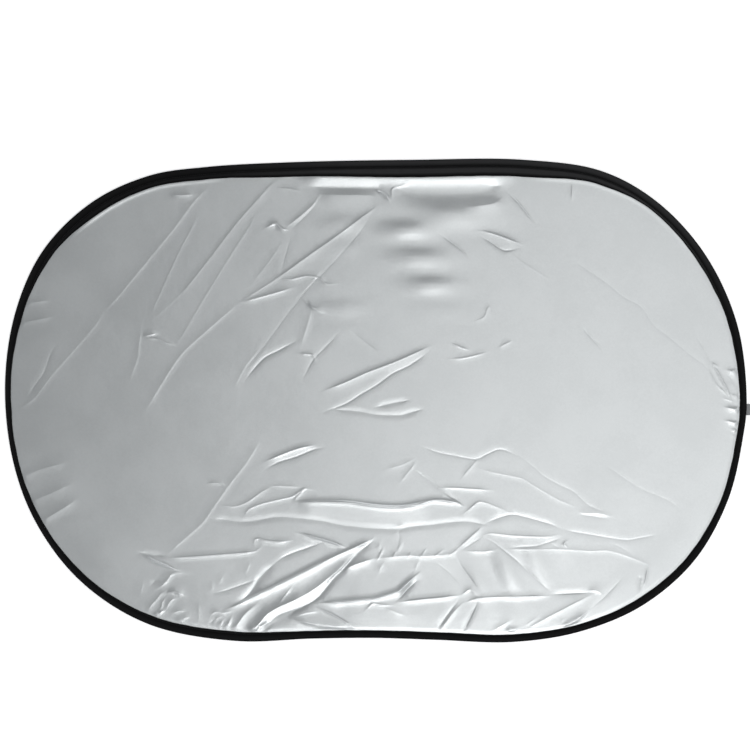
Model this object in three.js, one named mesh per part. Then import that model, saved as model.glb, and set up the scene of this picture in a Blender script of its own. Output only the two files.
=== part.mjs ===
import * as THREE from 'three';

// Car sunshade: a silver cloth panel held open by a sprung wire hoop, with black tape
// folded round its edge. It lies flat: X runs along the shade, Y towards its top edge
// and Z up from the surface it lies on. All sizes are in millimetres.

// Whole shade, measured over the tape
const SHADE_WIDTH = 1300;
const SHADE_HEIGHT = 846;

// Air between pieces that lie against each other
const CLEARANCE = 0.3;

// Wire hoop, and the crimped sleeve that joins its two ends
const WIRE_DIAMETER = 2.6;
const WIRE_SIDES = 8;
const WIRE_END_GAP = 0.6;
const SLEEVE_WALL = 0.5;
const SLEEVE_LENGTH = 30;
const SLEEVE_SIDES = 16;
const SLEEVE_ANCHOR = 20;
const SLEEVE_RUN_OUT = 32;
const SLEEVE_RISE_REACH = 120;

// Cloth of the panel
const CLOTH_THICKNESS = 0.4;
const CLOTH_EDGE_TO_POCKET = 1;
const CLOTH_SAG = 0.9;
const FOLD_FADE_AT_TAPE = 14;
const FOLD_END_SHARE = 0.25;
const FOLD_END_RUN = 1 / 3;
const CLOTH_RING_PAST_TAPE = 1.5;

// Black edge tape, whose front and back flaps measure as much together everywhere
const TAPE_THICKNESS = 0.6;
const TAPE_BOTH_FLAPS = 48;
const SEAM_FROM_EDGE = 13;
const SEAM_FROM_FLAP_END = 1.5;
const FLAP_PUFF = 0.1;
const ROLL_FULLNESS = 0.5;
const ROLL_FLAT = 2.6;
const TAPE_LAP_LENGTH = 26;
const TAPE_LAP_STEP = 0.4;
const TAPE_LAP_ANCHOR = 5;

// Grey elastic loop that keeps the folded shade closed
const BAND_WIDTH = 20;
const BAND_THICKNESS = 0.8;
const BAND_OVERHANG = 45;
const BAND_TUCK = 24;
const BAND_LOOP_HEIGHT = 4;
const BAND_PLACE_Y = -15;
const BAND_FLAT_PAST_EDGE = 6;
const BAND_RISE_REACH = 250;
const BAND_BEND_SEGMENTS = 6;

// Fineness of the meshes
const STATIONS_PER_ANCHOR = 4;
const PANEL_GRID = 36;
const PANEL_POINT_GAP = 5.5;
const PANEL_GRID_GAP = 25;
const PANEL_GRID_SWAY = 4.5;
const PANEL_EDGE_GAP = 20;
const PANEL_RIM_SPAN = 26000;

// The hoop's outline as a springy closed curve, anticlockwise from the right. Each anchor
// has its shares of the half width and half height, and how far the tape reaches in over
// the front there.
const HOOP_ANCHORS = [
  [1.0, 0.0, 12.3], [0.9755, 0.314, 15], [0.891, 0.602, 18], [0.762, 0.822, 17.8],
  [0.61, 0.953, 24.4], [0.4, 1.0, 30.4], [0.1, 1.0, 31.2], [-0.23, 0.99, 26],
  [-0.46, 0.97, 22.2], [-0.61, 0.935, 21.8], [-0.764, 0.826, 23.6], [-0.895, 0.63, 18.6],
  [-0.97, 0.38, 14], [-1.0, 0.08, 10.6], [-0.98, -0.24, 9.6], [-0.9155, -0.508, 11.2],
  [-0.793, -0.752, 13.6], [-0.6135, -0.925, 16], [-0.38, -0.9945, 16.6], [-0.17, -0.985, 13.8],
  [0.0, -0.982, 13.5], [0.16, -0.99, 13.6], [0.37, -0.999, 13.6], [0.5507, -0.956, 13],
  [0.72, -0.847, 14.3], [0.86, -0.66, 14], [0.95, -0.41, 12], [0.99, -0.15, 11.6],
];

// Creases of the cloth, drawn on a shade of this size. Each has the rise of its crest,
// negative for a valley, the width of the slope on the left and on the right of the way
// it runs, and its points.
const CREASE_MAP = new THREE.Vector2(1300, 846);
const CREASES = [
  // upper left: long pulls towards the left edge
  [1.6, 5, 9, [-292, 376], [-319, 349], [-354, 302], [-404, 241], [-451, 184], [-475, 159]],
  [1.2, 6, 9, [-475, 159], [-494, 130], [-532, 86], [-568, 45], [-600, 4], [-632, -18]],
  [-0.8, 5, 6, [-559, 100], [-582, 50], [-620, -8]],
  [1.2, 5, 6, [-313, 325], [-348, 255], [-377, 191], [-397, 148]],
  [3, 6, 22, [-150, 392], [-175, 386], [-203, 358], [-249, 305], [-300, 238], [-348, 179],
    [-404, 118]],
  [1.2, 5, 6, [-208, 334], [-243, 273], [-287, 203], [-331, 129], [-350, 97]],
  [3.5, 8, 24, [8, 345], [-50, 296], [-97, 264], [-170, 217], [-240, 172]],
  [3, 7, 18, [-240, 172], [-299, 121], [-337, 86], [-363, 50], [-404, -17]],
  [2.2, 10, 4, [-141, 200], [-185, 187], [-240, 172]],
  [2.6, 6, 5, [-98, 362], [-111, 343], [-141, 317], [-161, 303]],
  [-1.2, 4, 5, [-100, 355], [-117, 331], [-144, 305], [-193, 304]],
  [1.2, 4, 8, [-163, 280], [-190, 241], [-217, 206]],
  [-1, 5, 5, [-149, 290], [-158, 258], [-168, 223]],
  // upper middle
  [-1.4, 6, 6, [-24, 302], [-53, 267], [-88, 229], [-117, 200], [-152, 156], [-193, 100],
    [-228, 57]],
  [1.5, 6, 6, [-170, 219], [-152, 213], [-123, 219], [-65, 206]],
  [1.6, 8, 8, [-111, 166], [-120, 138], [-141, 103], [-176, 74], [-205, 58]],
  [-1.8, 7, 10, [-53, 127], [-70, 115], [-88, 95], [-111, 71], [-129, 36]],
  [-1, 9, 12, [-53, 127], [-18, 100], [6, 80]],
  [-2.4, 12, 12, [-105, 366], [-40, 366], [40, 366], [120, 360], [225, 366]],
  [2, 7, 9, [-410, 135], [-415, 100], [-433, 33]],
  // middle
  [3.2, 6, 14, [-91, 18], [-53, 33], [-15, 50], [17, 62], [49, 75], [96, 96]],
  [-2.4, 14, 8, [-94, -20], [-53, -5], [-26, 12], [0, 27], [29, 48], [93, 86]],
  [-2.2, 9, 9, [-73, -15], [-26, -19], [0, -24], [44, -25], [80, -15]],
  [3, 5, 10, [-196, -107], [-170, -96], [-138, -84], [-103, -76]],
  [-1.8, 8, 5, [-193, -119], [-170, -107], [-141, -98], [-88, -81]],
  [-2, 8, 8, [79, -78], [108, -90], [137, -96], [175, -102], [219, -87]],
  [-0.9, 7, 7, [219, -87], [248, -100], [298, -134], [348, -160], [388, -192], [418, -201]],
  [1.4, 8, 7, [160, -106], [225, -125], [272, -145], [318, -172], [400, -197]],
  [1.6, 7, 7, [76, -134], [111, -148], [152, -150], [207, -154]],
  [1.2, 5, 6, [73, -104], [52, -131], [41, -145]],
  // lower middle: the two long ones and the tent folds under them
  [4.5, 9, 8, [-141, -176], [-53, -176], [0, -180], [35, -183], [64, -180], [93, -173], [111, -170],
    [155, -183]],
  [-2.8, 8, 9, [-284, -207], [-228, -212], [-176, -204], [-100, -210], [-53, -219], [-6, -226],
    [46, -227]],
  [-2.8, 8, 9, [46, -227], [93, -223], [149, -214], [190, -217], [236, -201], [251, -199]],
  [-2, 7, 8, [251, -199], [298, -218], [333, -230], [406, -240], [453, -244], [494, -234]],
  [2, 6, 6, [-278, -182], [-249, -185], [-225, -177], [-202, -161], [-179, -148]],
  [2.4, 6, 7, [-231, -204], [-223, -190], [-199, -180], [-146, -167], [-129, -153]],
  [2, 5, 6, [152, -200], [181, -176], [196, -178], [236, -198]],
  [-2.2, 9, 9, [-290, -340], [-249, -330], [-211, -313], [-173, -280], [-141, -271], [-97, -253]],
  [7, 9, 20, [-284, -358], [-266, -362], [-228, -353], [-190, -335], [-141, -312], [-100, -291],
    [-47, -262], [0, -245]],
  [5.5, 9, 16, [-53, -286], [-76, -315], [-100, -335], [-117, -347], [-155, -359], [-193, -385]],
  [-3, 12, 10, [0, -245], [-24, -268], [-41, -289], [-82, -324], [-111, -353], [-170, -379]],
  [3, 10, 14, [-62, -300], [-24, -289], [0, -274], [35, -268], [93, -265], [131, -265], [146, -256]],
  [2.2, 4, 5, [146, -256], [166, -242], [193, -218]],
  [5.5, 9, 9, [-106, -350], [-53, -349], [0, -346], [23, -338], [44, -330], [58, -315], [76, -300]],
  [2.6, 7, 7, [32, -353], [79, -347], [152, -340], [163, -330], [175, -341], [228, -343]],
  [2.2, 7, 7, [228, -343], [301, -340], [388, -335]],
  [-1.8, 9, 8, [-111, -353], [-82, -370], [-53, -388]],
  [4, 9, 9, [-146, -381], [-111, -388], [-41, -394]],
  [1.6, 6, 8, [149, -350], [131, -370], [120, -390]],
  [1.6, 8, 6, [181, -350], [169, -373], [156, -394]],
  // lower left
  [-1.2, 5, 6, [-200, -66], [-228, -110], [-255, -145], [-284, -186], [-304, -218], [-337, -242],
    [-369, -271]],
  [1.8, 5, 5, [-413, -264], [-372, -270], [-348, -273], [-249, -266], [-208, -261]],
  [1.2, 6, 8, [-410, -265], [-395, -280], [-372, -289], [-330, -297]],
  [4, 7, 16, [-322, -303], [-363, -306], [-378, -326], [-395, -352]],
  [2.4, 6, 8, [-348, -336], [-366, -353], [-384, -364]],
  // lower right
  [2, 6, 6, [190, -236], [236, -235], [301, -238], [333, -230]],
  [-1.6, 6, 6, [236, -256], [301, -250], [327, -239]],
  [1.8, 6, 6, [239, -260], [327, -259], [406, -262], [450, -274], [482, -287]],
  [-1.2, 8, 8, [190, -239], [239, -277], [260, -294], [307, -338]],
  [2.4, 6, 6, [266, -392], [289, -385], [318, -370], [348, -356], [382, -338]],
  [-1.4, 7, 7, [350, -384], [365, -376], [388, -356], [412, -335], [432, -312]],
  [-0.8, 9, 9, [400, -110], [465, -154], [517, -177], [535, -192]],
  // upper right, faint
  [2.2, 5, 8, [178, 296], [187, 298], [228, 285], [257, 274]],
  [-1.2, 6, 5, [182, 290], [201, 279], [219, 267], [250, 268]],
  [0.8, 8, 8, [342, 249], [406, 206], [465, 165], [514, 112], [552, 80], [605, 18]],
  [1, 6, 6, [561, 115], [590, 68], [611, 33]],
  [1.2, 6, 8, [128, 74], [152, 75], [198, 87]],
  // puckers along the left tape and the right tape
  [1.6, 8, 8, [-611, 130], [-567, 144]],
  [1.2, 6, 6, [-603, 167], [-570, 168]],
  [1.8, 8, 10, [-613, -131], [-585, -119], [-541, -110]],
  [1.8, 8, 10, [-598, -172], [-570, -160], [-530, -142]],
  [1.6, 7, 9, [-565, -198], [-524, -172]],
  [1.2, 4, 4, [632, 38], [610, 52]],
  [1.2, 4, 4, [633, 2], [606, 4]],
  [1.2, 4, 4, [631, -24], [606, -22]],
];

// Soft waves of the slack cloth: middle, tilt of the wave's run, wave length, height
// and the reach of the patch along and across that run
const WAVES = [
  { at: [84, 250], tilt: -68, length: 48, height: 1.1, along: 72, across: 50 },
  { at: [-62, 330], tilt: -90, length: 38, height: 0.8, along: 26, across: 40 },
  { at: [-65, 140], tilt: -90, length: 44, height: 0.8, along: 44, across: 46 },
  { at: [230, -300], tilt: 25, length: 60, height: 1.2, along: 80, across: 46 },
];

// Sizes that follow from those above
const HALF_WIDTH = SHADE_WIDTH / 2;
const HALF_HEIGHT = SHADE_HEIGHT / 2;
const WIRE_RADIUS = WIRE_DIAMETER / 2;
const SLEEVE_BORE = WIRE_RADIUS + CLEARANCE;
const SLEEVE_RADIUS = SLEEVE_BORE + SLEEVE_WALL;
const BAND_STACK = 2 * BAND_THICKNESS + CLEARANCE;
const ROLL_RADIUS = WIRE_RADIUS + CLEARANCE + TAPE_THICKNESS;
const CLOTH_TO_FLAP = CLOTH_THICKNESS / 2 + CLEARANCE;
const FLAP_OFF_FLOOR = ROLL_RADIUS - CLOTH_TO_FLAP - TAPE_THICKNESS;

const materials = {
  cloth: new THREE.MeshStandardMaterial({ color: 0xb9bec0, roughness: 0.42, metalness: 0.55 }),
  tape: new THREE.MeshStandardMaterial({ color: 0x121212, roughness: 0.85, metalness: 0 }),
  wire: new THREE.MeshStandardMaterial({ color: 0x8c8f94, roughness: 0.35, metalness: 1 }),
  sleeve: new THREE.MeshStandardMaterial({ color: 0xb4b7bb, roughness: 0.4, metalness: 1 }),
  elastic: new THREE.MeshStandardMaterial({ color: 0x85888a, roughness: 0.9, metalness: 0 }),
};

function mix(a, b, share) {
  return a + (b - a) * share;
}

function smooth(from, to, value) {
  return THREE.MathUtils.smoothstep(value, from, to);
}

// The hoop rides up over the elastic band that lies under it, and comes down again to
// both sides of it. The rise fades towards the middle of the panel.
function bandRise({ x, y }) {
  const along = Math.min(1, Math.abs(y - BAND_PLACE_Y) / BAND_RISE_REACH);
  const inward = smooth(HALF_WIDTH - BAND_RISE_REACH, HALF_WIDTH - TAPE_BOTH_FLAPS, x);
  return (BAND_STACK + CLEARANCE) * Math.cos((along * Math.PI) / 2) ** 2 * inward;
}

// Stations along the outer edge: place, outward direction, length from the start and how
// far the tape reaches in over the front
function makeStations() {
  const curve = new THREE.CatmullRomCurve3(
    HOOP_ANCHORS.map(([x, y]) => new THREE.Vector3(x * HALF_WIDTH, y * HALF_HEIGHT, 0)),
    true,
    'centripetal',
  );
  const count = HOOP_ANCHORS.length * STATIONS_PER_ANCHOR;
  const stations = [];
  let length = 0;
  for (let i = 0; i < count; i += 1) {
    const place = curve.getPoint(i / count);
    const way = curve.getTangent(i / count);
    const out = new THREE.Vector2(way.y, -way.x).normalize();
    if (i > 0) {
      length += place.distanceTo(stations[i - 1].place);
    }
    const [, , front] = HOOP_ANCHORS[Math.floor(i / STATIONS_PER_ANCHOR)];
    const [, , next] = HOOP_ANCHORS[Math.ceil((i + 1) / STATIONS_PER_ANCHOR) % HOOP_ANCHORS.length];
    const share = smooth(0, 1, (i / STATIONS_PER_ANCHOR) % 1);
    stations.push({ place, out, length, front: mix(front, next, share) });
  }
  return stations;
}

const STATIONS = makeStations();
const SLEEVE_STATION = SLEEVE_ANCHOR * STATIONS_PER_ANCHOR;
const LAP_STATION = TAPE_LAP_ANCHOR * STATIONS_PER_ANCHOR;

// A station between two others, on the straight line that joins them
function stationNear(index, offset) {
  const step = offset < 0 ? -1 : 1;
  const from = STATIONS[index];
  const to = STATIONS[(index + step + STATIONS.length) % STATIONS.length];
  const share = Math.abs(offset) / from.place.distanceTo(to.place);
  return {
    place: from.place.clone().lerp(to.place, share),
    out: from.out.clone().lerp(to.out, share).normalize(),
    length: mix(from.length, to.length, share),
    front: mix(from.front, to.front, share),
  };
}

function seamDepth(station) {
  return Math.min(SEAM_FROM_EDGE, station.front - SEAM_FROM_FLAP_END);
}

// Share of the tape's widening over the sleeve, which fades along the edge and inward
function sleeveSwell({ x, y }) {
  const { place } = STATIONS[SLEEVE_STATION];
  const away = smooth(SLEEVE_LENGTH, SLEEVE_LENGTH + SLEEVE_RUN_OUT, Math.abs(x - place.x));
  const inward = smooth(TAPE_BOTH_FLAPS, SLEEVE_RISE_REACH, y - place.y);
  return (1 - away) * (1 - inward);
}

// Inner radius of the tape's pocket: close on the wire, and wider over the sleeve
function pocketRadius(station) {
  return mix(WIRE_RADIUS, SLEEVE_RADIUS, sleeveSwell(station.place)) + CLEARANCE;
}

function wireDepth(station) {
  return pocketRadius(station) + TAPE_THICKNESS;
}

// Height of the plane through the wire's middle, where the cloth is held as well
function hoopLevel(place) {
  const swell = (SLEEVE_RADIUS - WIRE_RADIUS) * sleeveSwell(place);
  return ROLL_RADIUS + swell + bandRise(place);
}

// A point of a station's cross-section: depth in from the outer edge, and height over
// the middle of the wire
function sectionPoint(station, depth, height) {
  const { place, out } = station;
  return new THREE.Vector3(
    place.x - out.x * depth,
    place.y - out.y * depth,
    hoopLevel(place) + height,
  );
}

function makeGeometry(points, faces) {
  const geometry = new THREE.BufferGeometry();
  const numbers = points.flatMap(({ x, y, z }) => [x, y, z]);
  geometry.setAttribute('position', new THREE.Float32BufferAttribute(numbers, 3));
  geometry.setIndex(faces.flat());
  geometry.computeVertexNormals();
  return geometry;
}

// Skin through rings of points, closed into a loop or capped at its two ends
function loft(rings, closed) {
  const size = rings[0].length;
  const faces = [];
  const spans = closed ? rings.length : rings.length - 1;
  for (let i = 0; i < spans; i += 1) {
    const here = i * size;
    const next = ((i + 1) % rings.length) * size;
    for (let j = 0; j < size; j += 1) {
      const k = (j + 1) % size;
      faces.push([here + j, next + j, next + k], [here + j, next + k, here + k]);
    }
  }
  if (!closed) {
    const last = (rings.length - 1) * size;
    for (let j = 1; j < size - 1; j += 1) {
      faces.push([0, j, j + 1], [last, last + j + 1, last + j]);
    }
  }
  return makeGeometry(rings.flat(), faces);
}

// Tape: a hairpin section round the wire, flattened where it lies on the floor and
// pinched at the seam. Its front flap puffs up a little and its back flap is flat. Where
// one end of the tape laps over the other, the front is thicker by the lap.
function tapeRing(station, lap) {
  const pocket = pocketRadius(station);
  const roll = pocket + TAPE_THICKNESS;
  const middle = wireDepth(station);
  const seam = seamDepth(station);
  const { front } = station;
  const back = TAPE_BOTH_FLAPS - front;
  const arc = (radius, turns) => turns.map((turn) => {
    const angle = THREE.MathUtils.degToRad(turn);
    return [middle + radius * Math.cos(angle), radius * Math.sin(angle)];
  });
  const frontFace = [
    [(middle + seam) / 2, (pocket + CLOTH_TO_FLAP) / 2 + ROLL_FULLNESS],
    [seam, CLOTH_TO_FLAP],
    [(seam + front) / 2, CLOTH_TO_FLAP + FLAP_PUFF * (front - seam)],
    [front, CLOTH_TO_FLAP],
  ];
  const outside = [
    [back, -CLOTH_TO_FLAP - TAPE_THICKNESS],
    [seam, -CLOTH_TO_FLAP - TAPE_THICKNESS],
    [middle + ROLL_FLAT / 2, -roll],
    [middle - ROLL_FLAT / 2, -roll],
    ...arc(roll, [-145, 180, 135]),
    ...arc(roll + lap, [90]),
    ...frontFace.map(([depth, height]) => [depth, height + TAPE_THICKNESS + lap]),
  ];
  const inside = [
    ...frontFace.toReversed(),
    ...arc(pocket, [90, 135, 180, -135, -90]),
    [seam, -CLOTH_TO_FLAP],
    [back, -CLOTH_TO_FLAP],
  ];
  return [...outside, ...inside].map(([depth, height]) => sectionPoint(station, depth, height));
}

function makeTape() {
  const rings = [];
  const half = TAPE_LAP_LENGTH / 2;
  STATIONS.forEach((station, i) => {
    if (i !== LAP_STATION) {
      rings.push(tapeRing(station, 0));
      return;
    }
    rings.push(
      tapeRing(stationNear(i, -half - TAPE_LAP_STEP), 0),
      tapeRing(stationNear(i, -half), TAPE_THICKNESS),
      tapeRing(station, TAPE_THICKNESS),
      tapeRing(stationNear(i, half), TAPE_THICKNESS),
      tapeRing(stationNear(i, half + TAPE_LAP_STEP), 0),
    );
  });
  return loft(rings, true);
}

// Wire: once round the hoop, from one side of the sleeve's middle to the other
function wireRing(station) {
  const depth = wireDepth(station);
  const ring = [];
  for (let i = 0; i < WIRE_SIDES; i += 1) {
    const angle = (-i / WIRE_SIDES) * 2 * Math.PI;
    ring.push(sectionPoint(
      station,
      depth + WIRE_RADIUS * Math.cos(angle),
      WIRE_RADIUS * Math.sin(angle),
    ));
  }
  return ring;
}

function makeWire() {
  const rings = [wireRing(stationNear(SLEEVE_STATION, WIRE_END_GAP / 2))];
  for (let i = 1; i < STATIONS.length; i += 1) {
    rings.push(wireRing(STATIONS[(SLEEVE_STATION + i) % STATIONS.length]));
  }
  rings.push(wireRing(stationNear(SLEEVE_STATION, -WIRE_END_GAP / 2)));
  return loft(rings, false);
}

function makeSleeve() {
  const half = SLEEVE_LENGTH / 2;
  const wall = [
    new THREE.Vector2(SLEEVE_BORE, -half),
    new THREE.Vector2(SLEEVE_RADIUS, -half),
    new THREE.Vector2(SLEEVE_RADIUS, half),
    new THREE.Vector2(SLEEVE_BORE, half),
    new THREE.Vector2(SLEEVE_BORE, -half),
  ];
  return new THREE.LatheGeometry(wall, SLEEVE_SIDES);
}

// Elastic: a loop folded flat and open a little at its far end. Its two ends run under
// the hoop and up against the tape's back flap.
function makeBand() {
  const bend = BAND_OVERHANG - BAND_LOOP_HEIGHT / 2;
  const bendRadius = BAND_LOOP_HEIGHT / 2;
  const rollEnd = -wireDepth(STATIONS[0]) - ROLL_FLAT / 2;
  const tuckedFace = (height) => [
    [-BAND_TUCK, height + FLAP_OFF_FLOOR],
    [-seamDepth(STATIONS[0]), height + FLAP_OFF_FLOOR],
    [rollEnd, height],
  ];
  const shape = new THREE.Shape();
  const lineThrough = (points) => points.forEach(([x, y]) => shape.lineTo(x, y));
  shape.moveTo(-BAND_TUCK, FLAP_OFF_FLOOR);
  lineThrough(tuckedFace(0));
  shape.lineTo(bend, 0);
  shape.absarc(bend, bendRadius, bendRadius, -Math.PI / 2, Math.PI / 2, false);
  shape.lineTo(BAND_FLAT_PAST_EDGE, BAND_STACK);
  lineThrough(tuckedFace(BAND_STACK).toReversed());
  lineThrough(tuckedFace(BAND_STACK - BAND_THICKNESS));
  shape.lineTo(BAND_FLAT_PAST_EDGE, BAND_STACK - BAND_THICKNESS);
  shape.lineTo(bend, BAND_LOOP_HEIGHT - BAND_THICKNESS);
  shape.absarc(bend, bendRadius, bendRadius - BAND_THICKNESS, Math.PI / 2, -Math.PI / 2, true);
  lineThrough(tuckedFace(BAND_THICKNESS).toReversed());
  shape.closePath();
  const geometry = new THREE.ExtrudeGeometry(shape, {
    depth: BAND_WIDTH,
    bevelEnabled: false,
    curveSegments: BAND_BEND_SEGMENTS,
  });
  geometry.translate(0, 0, -BAND_WIDTH / 2);
  geometry.rotateX(Math.PI / 2);
  return geometry;
}

// Creases at the shade's own size, with the length of each leg worked out once
const FOLDS = CREASES.map(([rise, left, right, ...drawn]) => {
  const points = drawn.map(([x, y]) => new THREE.Vector2(
    (x * SHADE_WIDTH) / CREASE_MAP.x,
    (y * SHADE_HEIGHT) / CREASE_MAP.y,
  ));
  const lengths = [0];
  for (let i = 1; i < points.length; i += 1) {
    lengths.push(lengths[i - 1] + points[i].distanceTo(points[i - 1]));
  }
  return { rise, left, right, points, lengths };
});

// Nearest point of a crease: distance from it, side of it and how far along it that is
function nearestOnFold(fold, x, y) {
  const best = { distance: Infinity, side: 1, along: 0 };
  for (let i = 1; i < fold.points.length; i += 1) {
    const a = fold.points[i - 1];
    const b = fold.points[i];
    const leg = fold.lengths[i] - fold.lengths[i - 1];
    const dx = (b.x - a.x) / leg;
    const dy = (b.y - a.y) / leg;
    const along = THREE.MathUtils.clamp((x - a.x) * dx + (y - a.y) * dy, 0, leg);
    const distance = Math.hypot(x - a.x - dx * along, y - a.y - dy * along);
    if (distance < best.distance) {
      best.distance = distance;
      best.side = Math.sign(dx * (y - a.y) - dy * (x - a.x));
      best.along = fold.lengths[i - 1] + along;
    }
  }
  return best;
}

function foldHeight(fold, x, y) {
  const { distance, side, along } = nearestOnFold(fold, x, y);
  const length = fold.lengths.at(-1);
  const toEnd = Math.min(along, length - along);
  const fade = mix(FOLD_END_SHARE, 1, smooth(0, length * FOLD_END_RUN, toEnd));
  const width = side > 0 ? fold.left : fold.right;
  return fold.rise * fade * Math.exp(-distance / width);
}

function waveHeight(wave, x, y) {
  const tilt = THREE.MathUtils.degToRad(wave.tilt);
  const dx = x - (wave.at[0] * SHADE_WIDTH) / CREASE_MAP.x;
  const dy = y - (wave.at[1] * SHADE_HEIGHT) / CREASE_MAP.y;
  const along = dx * Math.cos(tilt) + dy * Math.sin(tilt);
  const across = dy * Math.cos(tilt) - dx * Math.sin(tilt);
  const patch = Math.exp(-((along / wave.along) ** 2) - (across / wave.across) ** 2);
  return wave.height * patch * Math.cos((2 * Math.PI * along) / wave.length);
}

// Middle of the cloth's thickness above the floor, at a distance in from the tape. Over
// the back flap the cloth doesn't drop, and elsewhere no valley reaches the floor.
function clothHeight(x, y, inward) {
  let creased = 0;
  FOLDS.forEach((fold) => {
    creased += foldHeight(fold, x, y);
  });
  WAVES.forEach((wave) => {
    creased += waveHeight(wave, x, y);
  });
  creased *= smooth(0, FOLD_FADE_AT_TAPE, inward);
  const pastFlap = smooth(TAPE_BOTH_FLAPS, 2 * TAPE_BOTH_FLAPS, inward);
  const sag = CLOTH_SAG * pastFlap;
  const lowest = (CLOTH_TO_FLAP - ROLL_RADIUS) * pastFlap;
  return hoopLevel({ x, y }) + Math.max(creased - sag, lowest);
}

// Distance from a closed outline, negative outside it
function distanceInside(outline, x, y) {
  let nearest = Infinity;
  let inside = false;
  outline.forEach((a, i) => {
    const b = outline[(i + 1) % outline.length];
    const dx = b.x - a.x;
    const dy = b.y - a.y;
    const share = ((x - a.x) * dx + (y - a.y) * dy) / (dx ** 2 + dy ** 2);
    const held = THREE.MathUtils.clamp(share, 0, 1);
    nearest = Math.min(nearest, Math.hypot(x - a.x - dx * held, y - a.y - dy * held));
    if ((a.y > y) !== (b.y > y) && x < a.x + ((y - a.y) / dy) * dx) {
      inside = !inside;
    }
  });
  return inside ? nearest : -nearest;
}

// Points of the panel inside the tape: along every crease and both its slopes, and a
// loose grid over the rest
function panelPoints(outline) {
  const points = [];
  const add = (x, y, gap) => {
    if (points.some((p) => Math.hypot(p.x - x, p.y - y) < gap)) {
      return;
    }
    if (distanceInside(outline, x, y) > PANEL_EDGE_GAP) {
      points.push(new THREE.Vector2(x, y));
    }
  };
  FOLDS.forEach(({ points: line }) => line.forEach((p) => add(p.x, p.y, PANEL_POINT_GAP)));
  FOLDS.forEach(({ points: line, left, right }) => {
    line.forEach((p, i) => {
      const next = line[Math.min(i + 1, line.length - 1)];
      const way = next.clone().sub(line[Math.max(i - 1, 0)]).normalize();
      add(p.x - way.y * left, p.y + way.x * left, PANEL_POINT_GAP);
      add(p.x + way.y * right, p.y - way.x * right, PANEL_POINT_GAP);
    });
  });
  const rowStep = PANEL_GRID * Math.sin(Math.PI / 3);
  const rows = Math.ceil(HALF_HEIGHT / rowStep);
  const columns = Math.ceil(HALF_WIDTH / PANEL_GRID);
  for (let row = -rows; row <= rows; row += 1) {
    for (let column = -columns; column <= columns; column += 1) {
      const sway = Math.sin(row * 12.9898 + column * 78.233);
      const x = (column + (row % 2) / 2) * PANEL_GRID + PANEL_GRID_SWAY * sway;
      const y = row * rowStep + PANEL_GRID_SWAY * Math.cos(sway * 9);
      add(x, y, PANEL_GRID_GAP);
    }
  }
  return points;
}

// Delaunay triangles of a set of points, added one by one
function triangulate(points) {
  const rim = [[-1, -1], [1, -1], [0, 1]].map(([x, y]) => ({
    x: x * PANEL_RIM_SPAN,
    y: y * PANEL_RIM_SPAN,
  }));
  const all = [...points, ...rim];
  const withCircle = (a, b, c) => {
    const [p, q, r] = [all[a], all[b], all[c]];
    const d = 2 * (p.x * (q.y - r.y) + q.x * (r.y - p.y) + r.x * (p.y - q.y));
    const [pp, qq, rr] = [p, q, r].map((v) => v.x ** 2 + v.y ** 2);
    const x = (pp * (q.y - r.y) + qq * (r.y - p.y) + rr * (p.y - q.y)) / d;
    const y = (pp * (r.x - q.x) + qq * (p.x - r.x) + rr * (q.x - p.x)) / d;
    return { corners: [a, b, c], x, y, reach: (p.x - x) ** 2 + (p.y - y) ** 2 };
  };
  let triangles = [withCircle(points.length, points.length + 1, points.length + 2)];
  points.forEach((point, index) => {
    const loose = new Map();
    const kept = [];
    triangles.forEach((triangle) => {
      if ((point.x - triangle.x) ** 2 + (point.y - triangle.y) ** 2 >= triangle.reach) {
        kept.push(triangle);
        return;
      }
      const [a, b, c] = triangle.corners;
      [[a, b], [b, c], [c, a]].forEach(([from, to]) => {
        if (!loose.delete(`${to} ${from}`)) {
          loose.set(`${from} ${to}`, [from, to]);
        }
      });
    });
    loose.forEach(([from, to]) => kept.push(withCircle(from, to, index)));
    triangles = kept;
  });
  return triangles
    .map(({ corners }) => corners)
    .filter((corners) => Math.max(...corners) < points.length);
}

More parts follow.
